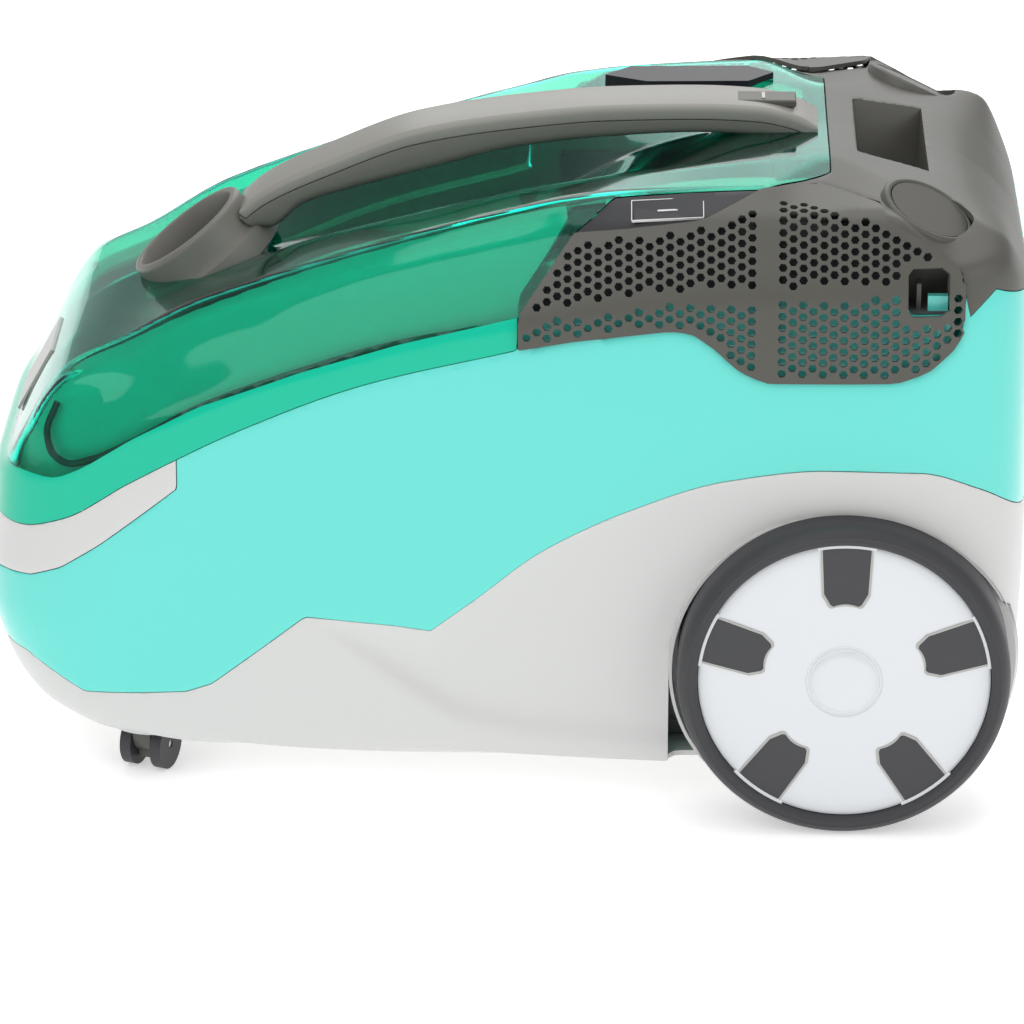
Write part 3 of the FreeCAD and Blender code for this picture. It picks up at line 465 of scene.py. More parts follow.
DECK = material("inner_deck", (0.70, 0.78, 0.76), 0.45, variation=0.06)
DEEP_GREEN = material("deep_green_seal", (0.0, 0.06, 0.05), 0.4, variation=0.05)
TYRE = material("tyre_grey", (0.038, 0.038, 0.043), 0.52, grain=0.15, variation=0.06)
WHEEL_WHITE = material("wheel_white", (0.74, 0.76, 0.79), 0.20, coat=0.4, variation=0.04)
INSERT = material("insert_grey", (0.045, 0.045, 0.050), 0.45, grain=0.1, variation=0.05)
STEEL = material("steel_bright", (0.55, 0.55, 0.56), 0.25, metallic=1.0, variation=0.05)
SMOKE = material("smoke_clear", (0.55, 0.70, 0.70), 0.12, transmission=0.7, variation=0.03)
INNER = material("inner_dark", (0.10, 0.11, 0.11), 0.5, variation=0.05)
FOAM = material("foam_grey", (0.05, 0.05, 0.055), 0.95, grain=0.6, grain_scale=500, variation=0.04)
BOARD = material("board_green", (0.02, 0.14, 0.06), 0.45, variation=0.05)
RUBBER = material("soft_rubber", (0.03, 0.03, 0.03), 0.6, variation=0.05)
ICON = material("printed_white", (0.75, 0.75, 0.75), 0.4, variation=0.05)

# ---------------------------------------------------------------- where the covers part
# Side-view lines as (x, z) points; the lid's back edge is given as (z, x).
PARTING = [(-260, 61), (-222, 60), (-194, 45), (-145, 51), (-133, 56), (-89, 93), (-47, 90), (-31, 88),
           (-10, 105), (19, 129), (60, 151), (105, 167), (150, 173), (191, 172), (219, 162), (260, 125)]
LID_SEAM = [(-260, 124), (-226, 125), (-202, 133), (-169, 155), (-117, 184), (-62, 207), (9, 226), (60, 240)]
BAND_TOP = [(-260, 152), (-205, 152), (-192, 159), (-168, 176), (-136, 194), (-90, 212),
            (-44, 227), (60, 254)]
BUMPER_FOOT = [(-260, 94), (-231, 100), (-218, 102), (-203, 109), (-184, 123), (-147, 154), (-100, 190)]
GRILLE_FOOT = [(-40, 216), (9, 226), (35, 231), (78, 237), (88, 236), (98, 229), (109, 219), (121, 214),
               (180, 215), (194, 220), (206, 231), (211, 242), (216, 330)]
REAR_FOOT = [(60, 304), (96, 297), (120, 292.5), (172, 288), (208, 265), (212, 244), (224, 255), (260, 238)]
LID_BACK = [(200, 9), (241, 9), (275, 34), (292, 57), (340, 120)]
LID_END, LID_WIDE, LID_NARROW, LID_CORNER, TROUGH_WIDE, TROUGH_BACK = 150, 99, 53, 119, 64, 48


def line(points, x):
    return np.interp(x, [p[0] for p in points], [p[1] for p in points])


def eased(points, x, reach=4.0):
    """A line through points with its corners eased over a short reach."""
    return (line(points, x - reach) + 2 * line(points, x) + line(points, x + reach)) / 4


def parting(x, y, z):
    """Positive above the seam between chassis and body."""
    sharp = line(PARTING, x)
    soft = smooth_line(PARTING[7:], x)
    return z - np.where(x > PARTING[7][0], soft, sharp)


def lid_seam(x, y, z):
    return z - smooth_line(LID_SEAM, x)


def lid_front(x, y, z):
    return np.minimum(lid_seam(x, y, z), line(LID_BACK, z) - x)


def lid_tail(x, y, z):
    """Positive over the lid's tail: a strip that narrows to the rear cover and the trough under the grip."""
    y = np.abs(y)
    slant = (LID_CORNER - x) * (LID_WIDE - LID_NARROW) / (146 - LID_CORNER) * 0.51
    edge = (LID_WIDE + slant - y) * 0.51
    strip = np.minimum(np.minimum(LID_WIDE - y, edge), x - TROUGH_BACK)
    trough = np.minimum(TROUGH_WIDE - y, np.minimum(x + 20, TROUGH_BACK + 4 - x))
    area = np.minimum(np.maximum(strip, trough), LID_END - x)
    return np.minimum(area, z - 240)


def lid_region(x, y, z):
    return np.maximum(lid_front(x, y, z), lid_tail(x, y, z))


def bumper_region(x, y, z):
    return np.minimum(z - line(BUMPER_FOOT, x), -147 - x)


def rear_region(x, y, z):
    return np.minimum(z - line(REAR_FOOT, x), x - 97)


def grille_region(x, y, z):
    return np.minimum(z - eased(GRILLE_FOOT, x, 2.0), np.minimum(x - 9, 210 - x))


PANEL_EDGE = [(34, 275), (92, 283), (119, 292.6), (130, 297)]


def panel_region(x, y, z):
    inside = np.minimum(z - line(PANEL_EDGE, x), np.minimum(x - 30, 119 - x))
    return np.minimum(inside, np.abs(y) - 92)


SLOT = (184, 202, 246, 266)     # low and high x, low and high z
SLOT_BACK = 112


def slot_region(x, y, z):
    across = np.minimum(x - SLOT[0], SLOT[1] - x)
    return np.minimum(np.minimum(across, np.minimum(z - SLOT[2], SLOT[3] - z)),
                      np.abs(y) - SLOT_BACK)


WHEEL_X, WHEEL_Z, WHEEL_INNER = 158.5, 76, 125
ARCH_Z, ARCH_R, WELL_Y = 72, 80, 119


def arch_region(x, y, z):
    circle = ARCH_R - np.sqrt((x - WHEEL_X) ** 2 + (z - ARCH_Z) ** 2)
    column = np.minimum(ARCH_R - np.abs(x - WHEEL_X), ARCH_Z - z)
    return np.minimum(np.maximum(circle, column), np.abs(y) - WELL_Y)


CASTOR_X, CASTOR_Y, CASTOR_WELL, CASTOR_TOP = -163, 80, 22, 36


def castor_region(x, y, z):
    return np.minimum(CASTOR_WELL - np.sqrt((x - CASTOR_X) ** 2 + (np.abs(y) - CASTOR_Y) ** 2), 60 - z)


POCKET = (163, 196, 40)         # low and high x, half width at the front
POCKET_WIDENS = 7


def pocket_region(x, y, z):
    across = np.minimum(x - POCKET[0], POCKET[1] - x)
    widen = POCKET_WIDENS * (x - POCKET[0]) / (POCKET[1] - POCKET[0])
    return np.minimum(np.minimum(across, POCKET[2] + widen - np.abs(y)), z - 245)


FACET = {side: Vector((0.42, side * 0.20, 0.88)).normalized() for side in (-1, 1)}
ROUND_SPOT = {side: Vector((194, side * 95, 282)) for side in (-1, 1)}
ROUND_R = 19


def round_region(x, y, z):
    """Positive inside the round well of a button, measured from its axis (near Y > 0)."""
    normal, spot = FACET[1], ROUND_SPOT[1]
    dx, dy, dz = x - spot.x, np.abs(y) - spot.y, z - spot.z
    along = dx * normal.x + dy * normal.y + dz * normal.z
    across = np.sqrt(np.maximum(dx * dx + dy * dy + dz * dz - along * along, 0))
    return np.minimum(ROUND_R + 0.9 - across, along + 30)


PORT_TILT = math.radians(37)
PORT_AXIS = (-math.sin(PORT_TILT), 0, math.cos(PORT_TILT))
PORT_RIM = (-151, 0, 238.5)


def port_region(x, y, z):
    dx, dz = x - PORT_RIM[0], z - PORT_RIM[2]
    along = dx * PORT_AXIS[0] + dz * PORT_AXIS[2]
    across = np.sqrt(np.maximum(dx * dx + dz * dz - along * along, 0) + y * y)
    return 28.0 - across


# ---------------------------------------------------------------- moulded shells
def shells():
    """Every outer cover, cut from one smooth form."""
    whole = shell_grid()
    base = keep(whole, lambda x, y, z: -parting(x, y, z) - GAP)
    base = keep(base, lambda x, y, z: -arch_region(x, y, z))
    base = keep(base, lambda x, y, z: -castor_region(x, y, z))
    upper = keep(whole, lambda x, y, z: parting(x, y, z) - GAP)
    lid = keep(upper, lambda x, y, z: lid_region(x, y, z) - GAP)
    lid = keep(lid, lambda x, y, z: -port_region(x, y, z))
    rest = keep(upper, lambda x, y, z: -lid_region(x, y, z) - GAP)
    bumper = keep(rest, lambda x, y, z: bumper_region(x, y, z) - GAP)
    rest = keep(rest, lambda x, y, z: -bumper_region(x, y, z) - GAP)
    rear = keep(rest, lambda x, y, z: rear_region(x, y, z) - GAP)
    rear = keep(rear, lambda x, y, z: -pocket_region(x, y, z))
    rear = keep(rear, lambda x, y, z: -round_region(x, y, z))
    rear = keep(rear, lambda x, y, z: -slot_region(x, y, z))
    rest = keep(rest, lambda x, y, z: -rear_region(x, y, z) - GAP)
    panel = keep(rest, lambda x, y, z: panel_region(x, y, z) - GAP)
    rest = keep(rest, lambda x, y, z: -panel_region(x, y, z) - GAP)
    body = keep(rest, lambda x, y, z: -grille_region(x, y, z) - GAP)
    return {"base": base, "bumper": bumper, "body": body, "rear": rear, "panel": panel, "lid": lid}


SHELL = shells()
CREASE_DEPTH = 4.5
CHASSIS_CREASE = [(-89, 92), (-47, 60), (-20, 42), (10, 35), (60, 31), (90, 30)]


def sculpt_chassis(mesh):
    """The chassis face is set back a little above a crease that runs down from the seam's peak."""
    points, faces = mesh
    x, y, z = points.T
    above = np.clip((z - line(CHASSIS_CREASE, x)) / 9, 0, 1) * np.clip((x + 88) / 10, 0, 1)
    below_seam = np.clip(-parting(x, y, z) / 26, 0, 1)
    end = np.clip((150 - x) / 70, 0, 1)
    depth = CREASE_DEPTH * above * (below_seam * (2 - below_seam)) * end * np.clip(y / 60, 0, 1)
    moved = points.copy()
    moved[:, 1] -= depth
    return moved, faces


SHELL["base"] = sculpt_chassis(SHELL["base"])


def half_shell(mesh, side):
    """One side's copy of a half mesh."""
    points, faces = mesh
    if side > 0:
        return points, faces
    return points * np.array([1, -1, 1]), [list(reversed(face)) for face in faces]


base_shell = build("chassis_shell", thickened(mirrored(SHELL["base"]), SKIN), LIGHT_GREY, "housing")
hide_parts("base_pan")
body_shell = build("body_cover", thickened(mirrored(SHELL["body"]), SKIN), TURQUOISE, "housing")
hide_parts("body_shell")
bumper_shell = build("bumper_cover", thickened(mirrored(SHELL["bumper"]), SKIN), LIGHT_GREY, "housing")
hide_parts("front_bumper")
rear_shell = build("rear_top_cover", thickened(mirrored(SHELL["rear"]), SKIN), WARM_GREY, "housing")
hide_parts("rear_cover")

lid_band = keep(SHELL["lid"], lambda x, y, z: eased(BAND_TOP, x) - z)
lid_top = keep(SHELL["lid"], lambda x, y, z: z - eased(BAND_TOP, x))
lid_shell = build("lid_window", thickened(mirrored(lid_top), 2.2, 0.0), EMERALD, "lid")
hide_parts("lid_shell")
band_shell = build("lid_lower_band", thickened(mirrored(lid_band), 2.2, 0.0), GREEN_BAND, "lid")

for side, node in ((-1, "touch_panel_left"), (1, "touch_panel_right")):
    piece = build(node.replace("touch", "control"), thickened(half_shell(SHELL["panel"], side), 2.4),
                  DARK_PANEL, "housing")
    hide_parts(node)

# ---------------------------------------------------------------- linings of arches, wells and pocket
def arc_lining(region_points, low_y):
    """A wall from a flat depth out to the skin, following a line of (x, z) points."""
    xs, zs = np.array(region_points).T
    edge = side_y(xs, zs) - 0.6
    steps = 6
    points, faces = [], []
    for k in range(steps + 1):
        share = k / steps
        points += [(x, low_y + (y - low_y) * share, z) for x, y, z in zip(xs, edge, zs)]
    count = len(xs)
    for k in range(steps):
        for i in range(count - 1):
            a = k * count + i
            faces.append([a, a + 1, a + count + 1, a + count])
    return np.array(points), faces


def wheel_arch(side):
    start = math.asin((ARCH_Z - FLOOR_GAP - 1) / ARCH_R)
    turns = np.linspace(-start, math.pi + start, 90)
    rim = [(WHEEL_X + ARCH_R * math.cos(t), ARCH_Z + ARCH_R * math.sin(t)) for t in turns]
    wall = arc_lining(rim, WELL_Y)
    disc = np.array([(x, WELL_Y, z) for x, z in rim])
    back = (disc, [list(range(len(rim)))])
    mesh = half_shell(joined(wall, back), side)
    name = "wheel_arch_" + ("left" if side < 0 else "right")
    piece = build(name, thickened(weld(*mesh), -LINING, 0.0), LIGHT_GREY, "housing")


def castor_cup(side):
    ring = [(CASTOR_WELL - 0.2, FLOOR_GAP + 0.6), (CASTOR_WELL - 0.2, CASTOR_TOP), (4.3, CASTOR_TOP),
            (4.3, CASTOR_TOP + LINING), (CASTOR_WELL + LINING, CASTOR_TOP + LINING),
            (CASTOR_WELL + LINING, FLOOR_GAP + 0.6)]
    mesh = placed(lathe(ring, 64), (CASTOR_X, side * CASTOR_Y, 0), (0, 0, 1))
    piece = build("castor_cup_" + ("left" if side < 0 else "right"), mesh, LIGHT_GREY, "housing")


def nozzle_pocket():
    """Tapered recess in the top for parking the floor nozzle."""
    low_x, high_x, half = POCKET
    rim = []
    for t in np.linspace(-1, 1, 24):
        rim.append((low_x, half * t))
    for t in np.linspace(0, 1, 8)[1:]:
        rim.append((low_x + (high_x - low_x) * t, half + POCKET_WIDENS * t))
    for t in np.linspace(1, -1, 24)[1:]:
        rim.append((high_x, (half + POCKET_WIDENS) * t))
    for t in np.linspace(1, 0, 8)[1:-1]:
        rim.append((low_x + (high_x - low_x) * t, -half - POCKET_WIDENS * t))
    rim = np.array(rim)
    middle = np.array([(low_x + high_x) / 2 + 2, 0])
    rings = [(0.0, 0.0), (0.03, 3.0), (0.10, 12.0), (0.20, 26.0), (0.30, 37.0)]
    points, faces, count = [], [], len(rim)
    for pull, drop in rings:
        spots = rim + (middle - rim) * pull
        heights = roof_height(rim[:, 0], rim[:, 1]) - 0.3 - drop
        points += [(x, y, max(z, 253)) for (x, y), z in zip(spots, heights)]
    for k in range(len(rings) - 1):
        for i in range(count):
            a, b = k * count + i, k * count + (i + 1) % count
            faces.append([a, b, b + count, a + count])
    faces.append([(len(rings) - 1) * count + i for i in range(count)])
    piece = build("nozzle_pocket_tray", thickened((np.array(points), faces), -1.2, 0.0), WARM_GREY,
                  "housing")


for side in (-1, 1):
    wheel_arch(side)
    castor_cup(side)
nozzle_pocket()


# ---------------------------------------------------------------- perforated grilles
HEX_PITCH, HEX_HOLE = 5.3, 3.5
HEX_R, HOLE_R = HEX_PITCH / math.sqrt(3), HEX_HOLE / math.sqrt(3)
SECTION_X = np.arange(0, 222, 3.0)
SECTION_LIFT = np.radians(np.linspace(28, 75, 190))
SECTION_BASE = 226


def section_table():
    """Arc length, half width and height up the side of the form, at stations along X."""
    x = SECTION_X[:, None] + 0 * SECTION_LIFT[None, :]
    dy, dz = np.cos(SECTION_LIFT)[None, :] + 0 * x, np.sin(SECTION_LIFT)[None, :] + 0 * x
    low, high = np.zeros(x.shape), np.full(x.shape, REACH)
    for _ in range(HALVINGS):
        mid = (low + high) / 2
        out = outside(x, dy * mid, SPINE_HEIGHT + dz * mid) > 0
        high, low = np.where(out, mid, high), np.where(out, low, mid)
    y, z = dy * mid, SPINE_HEIGHT + dz * mid
    climbed = np.cumsum(np.hypot(np.diff(y), np.diff(z)), axis=1)
    run = np.concatenate([np.zeros((len(x), 1)), climbed], axis=1)
    for i in range(len(run)):
        run[i] -= np.interp(SECTION_BASE, z[i], run[i]) - SECTION_BASE
    return run, y, z


SECTION_RUN, SECTION_SIDE, SECTION_TOP = section_table()


def on_side(x, run):
    """The place on the form's right side at x and at an arc length up the section."""
    i = np.clip(x / 3.0, 0, len(SECTION_X) - 1.001)
    a = i.astype(int)
    share = i - a
    y, z = np.empty(len(x)), np.empty(len(x))
    for k in range(len(x)):
        rows = (a[k], a[k] + 1)
        ys = [np.interp(run[k], SECTION_RUN[r], SECTION_SIDE[r]) for r in rows]
        zs = [np.interp(run[k], SECTION_RUN[r], SECTION_TOP[r]) for r in rows]
        y[k] = ys[0] * (1 - share[k]) + ys[1] * share[k]
        z[k] = zs[0] * (1 - share[k]) + zs[1] * share[k]
    return y, z


RIDGE = [(8, 239), (28, 244), (64, 250), (91, 253), (127, 255), (162, 256), (180, 258),
         (194, 260), (220, 262)]


def grille_area(x, y, z):
    area = np.minimum(grille_region(x, y, z), -rear_region(x, y, z))
    area = np.minimum(area, -panel_region(x, y, z))
    area = np.minimum(area, -lid_region(x, y, z))
    return np.minimum(area, -slot_region(x, y, z)) - GAP


def grille_mesh():
    tiles = []
    for column in range(0, 48):
        for row in range(-4, 22):
            x = 4 + column * 1.5 * HEX_R
            run = 206 + row * HEX_PITCH + (column % 2) * HEX_PITCH / 2
            tiles.append((x, run))
    centres = np.array(tiles)
    corner = np.radians(np.arange(6) * 60)
    ring = np.stack([np.cos(corner), np.sin(corner)], -1)
    outer = centres[:, None, :] + ring[None] * HEX_R
    inner = centres[:, None, :] + ring[None] * HOLE_R
    flat = np.concatenate([outer.reshape(-1, 2), inner.reshape(-1, 2)])
    y, z = on_side(flat[:, 0], flat[:, 1])
    points = np.stack([flat[:, 0], y, z], -1)
    cy, cz = on_side(centres[:, 0], centres[:, 1])
    margin = grille_area(centres[:, 0], cy, cz)
    ridge = np.abs(cz - line(RIDGE, centres[:, 0]))
    holed = (margin > 3.3) & (ridge > 3.1) & (np.abs(centres[:, 0] - 121) > 3.4)
    base = 6 * len(centres)
    faces = []
    for t in range(len(centres)):
        if margin[t] < -6:
            continue
        if holed[t]:
            for k in range(6):
                a, b = 6 * t + k, 6 * t + (k + 1) % 6
                faces.append([a, b, base + b, base + a])
        else:
            faces.append([6 * t + k for k in range(6)])
    mesh = weld(points, faces)
    return keep(mesh, grille_area)


GRILLE = grille_mesh()
backing = keep(keep(shell_grid(4.6, (40, 80, 50), 90), lambda x, y, z: grille_region(x, y, z) + 1),
               lambda x, y, z: np.minimum(-rear_region(x, y, z), 203 - x) + 1)
backing = keep(backing, lambda x, y, z: np.minimum(np.abs(y) - 95, -lid_region(x, y, z) - 1))
backing = keep(backing, lambda x, y, z: -slot_region(x, y, z) - 1.5)
low_backing = keep(backing, lambda x, y, z: line(RIDGE, x) - z)
high_backing = keep(backing, lambda x, y, z: z - line(RIDGE, x))
for side, label in ((-1, "left"), (1, "right")):
    piece = build("perforated_grille_" + label, thickened(half_shell(GRILLE, side), 2.0, 0.0), WARM_GREY,
                  "housing", angle=30)
    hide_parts("vent_grille_" + label)
    piece = build("grille_backing_low_" + label, thickened(half_shell(low_backing, side), 0.8, 0.0),
                  TURQUOISE, "housing")
    piece = build("grille_backing_high_" + label, thickened(half_shell(high_backing, side), 0.8, 0.0), FOAM,
                  "housing")


# ---------------------------------------------------------------- wheels
def wheel(side, label):
    body = label + "_wheel"
    out = (0, side, 0)
    inner_face = (WHEEL_X, side * WHEEL_INNER, WHEEL_Z)
    tread = [(67, 0.6), (72, 0), (75, 1.2), (76, 4), (76, 26), (75.2, 30), (73.2, 33), (71.6, 34),
             (70.6, 33.6), (69.6, 34), (67.8, 33.4), (67, 31.5)]
    tyre = build(label + "_tyre_round", placed(lathe(tread, 128), inner_face, out), TYRE, body, angle=50)
    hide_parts(label + "_tyre")
    face = [(5.2, 8), (5.2, 30.6), (15.6, 30.9), (16.2, 30.2), (17.2, 30.2), (17.8, 30.9), (40, 30.6),
            (60, 30.4), (65.4, 30.8), (66.6, 30.2), (66.9, 29), (66.9, 7), (62, 7), (62, 26), (14, 26),
            (14, 8)]
    disc = build(label + "_disc_face", placed(lathe(face, 128), inner_face, out), WHEEL_WHITE, body,
                 angle=35)
    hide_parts(label + "_wheel_disc")
    cap = [(0.05, 29), (0.05, 32.0), (11, 31.9), (14.4, 31.5), (15.2, 30.8), (15.4, 29)]
    hub = build(label + "_hub_disc", placed(lathe(cap, 96), inner_face, out), WHEEL_WHITE, body, angle=50)
    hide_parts(label + "_hub_cap")

    def insert_outline(grow):
        top = 66.4 + min(grow, 0.6)
        half_out, half_in, inner = 11.2 + grow, 9.6 + grow, 37 - grow
        outline = []
        for t in np.linspace(-1, 1, 9):
            a = t * math.asin(half_out / top)
            outline.append((top * math.sin(a), top * math.cos(a)))
        outline += [(half_in + 0.5, inner + 6), (half_in - 2.5, inner + 0.6)]
        for t in np.linspace(1, -1, 7):
            outline.append((t * (half_in - 4.0), inner + 1.3 * (1 - t * t) - 0.2))
        outline += [(-half_in + 2.5, inner + 0.6), (-half_in - 0.5, inner + 6)]
        return [(x, z) for x, z in reversed(outline)]

    def on_face(outline, turn, low, high):
        """A block over an outline that is drawn at the wheel's top, turned into place on its face."""
        flat = [(x * math.cos(turn) - z * math.sin(turn), x * math.sin(turn) + z * math.cos(turn))
                for x, z in outline]
        points, faces = prism(flat, low, high)
        x, z, depth = points.T
        spots = np.stack([WHEEL_X + x, side * (WHEEL_INNER + depth), WHEEL_Z + z], -1)
        return spots, faces if side < 0 else [list(reversed(f)) for f in faces]

    pads, frames, lips = [], [], []
    for k in range(5):
        turn = math.radians(72 * k)
        pads.append(on_face(insert_outline(0.0), turn, 28, 31.2))
        frames.append(on_face(insert_outline(0.9), turn, 28, 30.95))
        span = math.asin(14 / 68.5)
        arc = [(68.2 * math.sin(a), 68.2 * math.cos(a)) for a in np.linspace(-span, span, 9)]
        arc += [(65.6 * math.sin(a), 65.6 * math.cos(a)) for a in np.linspace(span, -span, 9)]
        lips.append(on_face(list(reversed(arc)), turn, 28, 31.6))
    piece = build(label + "_insert_pads", joined(*pads), INSERT, body, smooth=False)
    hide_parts(label + "_spoke_inserts")
    bevel(piece, 0.5)
    piece = build(label + "_insert_frames", joined(*frames), SILVER, body, smooth=False)
    piece = build(label + "_rim_tabs", joined(*lips), WHEEL_WHITE, body, smooth=False)
    bevel(piece, 0.4)


wheel(-1, "left")
wheel(1, "right")


# ---------------------------------------------------------------- hose port and handle
def hose_port():
    band = [(26.3, -15), (26.3, -1.2), (26.9, -0.2), (28.2, 0), (29.6, -0.3), (30.4, -1.3), (30.5, -3),
            (30.5, -12), (31.4, -14.6), (35.2, -16.2), (35.5, -17.5), (35.5, -26), (25.2, -26), (25.2, -15)]
    ring = build("hose_ring", placed(lathe(band, 112), PORT_RIM, PORT_AXIS), GRIP_SIDE, "lid", angle=40)
    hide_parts("hose_port_ring")
    lip = [(22.0, -18.4), (22.0, -16), (22.8, -15.2), (24.6, -15.1), (25.1, -16), (25.1, -18.4)]
    seal = build("hose_ring_seal", placed(lathe(lip, 96), PORT_RIM, PORT_AXIS), RUBBER, "lid", angle=50)
    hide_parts("hose_port_seal")
    pipe = [(22.0, -62), (22.0, -18.6), (25, -18.6), (25, -62)]
    duct = build("suction_duct", placed(lathe(pipe, 72), PORT_RIM, PORT_AXIS), INNER, "lid", angle=50)
    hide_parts("duct_elbow")


GRIP_TOP = [(-124, 252), (-118, 258), (-111, 263), (-82, 277), (-40, 293), (7, 301), (49, 305), (91, 306),
            (116, 305), (135, 301), (146, 295)]
GRIP_FOOT = [(-124, 248.3), (-118, 243), (-110, 243), (-94, 255), (-77, 261), (-35, 273), (7, 284),
             (44, 289), (91, 292), (138, 290), (146, 290)]
GRIP_HALF, GRIP_CAP = 17.5, 7


def grip_section(x, part):
    """Closed rounded section of the handle at x: the top cap or the lower bar, as (y, z)."""
    top = float(smooth_line(GRIP_TOP, x))
    foot = float(smooth_line(GRIP_FOOT, x))
    half = GRIP_HALF - 1.0 * abs((x - 20) / 130) ** 3
    split = max(top - GRIP_CAP, foot + 2)
    if part == "cap":
        low, high, round_low, round_high = split + 0.15, top, 0.6, 5.0
    else:
        low, high, round_low, round_high = foot, split - 0.15, 5.0, 0.6
        half -= 0.5
    room = (high - low) / 2 - 0.05
    round_low, round_high = min(round_low, room), min(round_high, room)
    points = []
    for centre_y, centre_z, r, start in ((half - round_high, high - round_high, round_high, 0),
                                         (-half + round_high, high - round_high, round_high, 90),
                                         (-half + round_low, low + round_low, round_low, 180),
                                         (half - round_low, low + round_low, round_low, 270)):
        for k in range(6):
            a = math.radians(start + 18 * k)
            points.append((centre_y + r * math.cos(a), centre_z + r * math.sin(a)))
    return points


def handle_part(name, part, low_x, high_x, finish):
    stations = np.linspace(low_x, high_x, 90)
    points, faces = [], []
    for x in stations:
        points += [(x, y, z) for y, z in grip_section(x, part)]
    count = 24
    for i in range(len(stations) - 1):
        for k in range(count):
            a, b = i * count + k, i * count + (k + 1) % count
            faces.append([a, a + count, b + count, b])
    faces.append(list(range(count)))
    faces.append([(len(stations) - 1) * count + k for k in range(count - 1, -1, -1)])
    return build(name, (np.array(points), faces), finish, "lid", angle=45)


hose_port()
# The cap gets the lighter grey, a painted highlight on the handle's top.
cap = handle_part("grip_cap", "cap", -124, 145.5, HANDLE_TOP_PAINTED_HIGHLIGHT)
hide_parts("handle_upper")
grip_bar = handle_part("grip_bar", "bar", -124, 137, GRIP_SIDE)
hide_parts("handle_lower")

# ---------------------------------------------------------------- plain nodes kept from the CAD model
LOOKS = {
    "rewind_button": WARM_GREY, "power_button": WARM_GREY, "minus_key": DARK_PANEL, "plus_key": DARK_PANEL,
    "filler_cover": DARK_PANEL, "lid_badge": SILVER,
    "latch_hook": INNER, "latch_bracket": INNER, "latch_pin": STEEL, "latch_keeper": INNER,
    "hinge_pins": STEEL, "hinge_bracket": INNER, "wheel_axles": STEEL, "dirty_water_tank": SMOKE,
    "filter_box_lid": INNER, "tank_gasket": RUBBER, "foam_filter": FOAM, "clean_water_tank": SMOKE,
    "tank_filler_cap": INNER, "spray_pump": INNER, "motor_housing": INNER, "rotor_shaft": STEEL,
    "fan_impeller": INNER, "motor_mounts": RUBBER, "reel_frame": INNER, "reel_drum": INNER,
    "cord_outlet_gland": RUBBER, "control_board": BOARD, "exhaust_filter_left": FOAM,
    "exhaust_filter_right": FOAM, "base_screws": STEEL,
}
for side in ("left", "right"):
    LOOKS.update({side + "_castor_fork": WARM_GREY, side + "_castor_wheels": TYRE,
                  side + "_castor_axle": STEEL})
ROUNDED = {"rewind_button": 1.2, "power_button": 1.2, "minus_key": 0.5, "plus_key": 0.5, "filler_cover": 2.0,
           "lid_badge": 0.6, "left_castor_wheels": 1.4, "right_castor_wheels": 1.4,
           "left_castor_fork": 0.8, "right_castor_fork": 0.8, "cord_outlet_gland": 1.0}
for name, finish in LOOKS.items():
    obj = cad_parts[name]
    obj.data.materials.clear()
    obj.data.materials.append(finish)
    if name in ROUNDED:
        bevel(obj, ROUNDED[name])


# ---------------------------------------------------------------- what shows through the lid
def inner_deck():
    """The light inner tub that shows through the clear lid."""
    tub = shell_grid(9.0, (44, 80, 50), 90)
    tub = keep(tub, lambda x, y, z: np.minimum(lid_region(x, y, z - 6), 140 - x))
    tub = keep(tub, lambda x, y, z: np.maximum(line(BAND_TOP, x) + 6 - z, np.abs(y) - 60))
    piece = build("inner_tub_rim", thickened(mirrored(tub), 2.0, 0.0), DECK, "housing")


inner_deck()

# ---------------------------------------------------------------- small details
def side_word(side):
    return "left" if side < 0 else "right"


def button_bezel(side):
    ring = [(19.4, -10), (19.4, 0.3), (20.0, 1.0), (21.4, 1.0), (22.8, -0.4), (22.8, -10)]
    mesh = placed(lathe(ring, 96), tuple(ROUND_SPOT[side]), tuple(FACET[side]))
    piece = build("round_bezel_" + side_word(side), mesh, WARM_GREY, "housing", angle=50)


def accessory_slot(side):
    """Tray behind the slot, with the small upright tab that an accessory hooks on."""
    low_x, high_x, low_z, high_z = SLOT
    plates = [((low_x - 1, 111, low_z - 1), (high_x + 1, 112, high_z + 1)),
              ((low_x - 1, 112, low_z - 1), (low_x, 127, high_z + 1)),
              ((high_x, 112, low_z - 1), (high_x + 1, 125, high_z + 1)),
              ((low_x - 1, 112, high_z), (high_x + 1, 124, high_z + 1)),
              ((low_x + 4, 121, low_z), (low_x + 6, 127, low_z + 12))]
    tray = joined(*[half_shell(block(low, high), side) for low, high in plates])
    piece = build("slot_tray_" + side_word(side), tray, WARM_GREY, "housing", smooth=False)
    floor = half_shell(block((low_x - 1, 112, low_z - 1.2), (high_x + 1, 130, low_z)), side)
    piece = build("slot_floor_" + side_word(side), floor, INNER, "housing", smooth=False)
    strip = half_shell(block((low_x + 9, 125, low_z), (high_x, 129, low_z + 7)), side)
    piece = build("slot_strip_" + side_word(side), strip, TURQUOISE, "housing", smooth=False)


KEY_SPOT = (76, 108, 285.4)


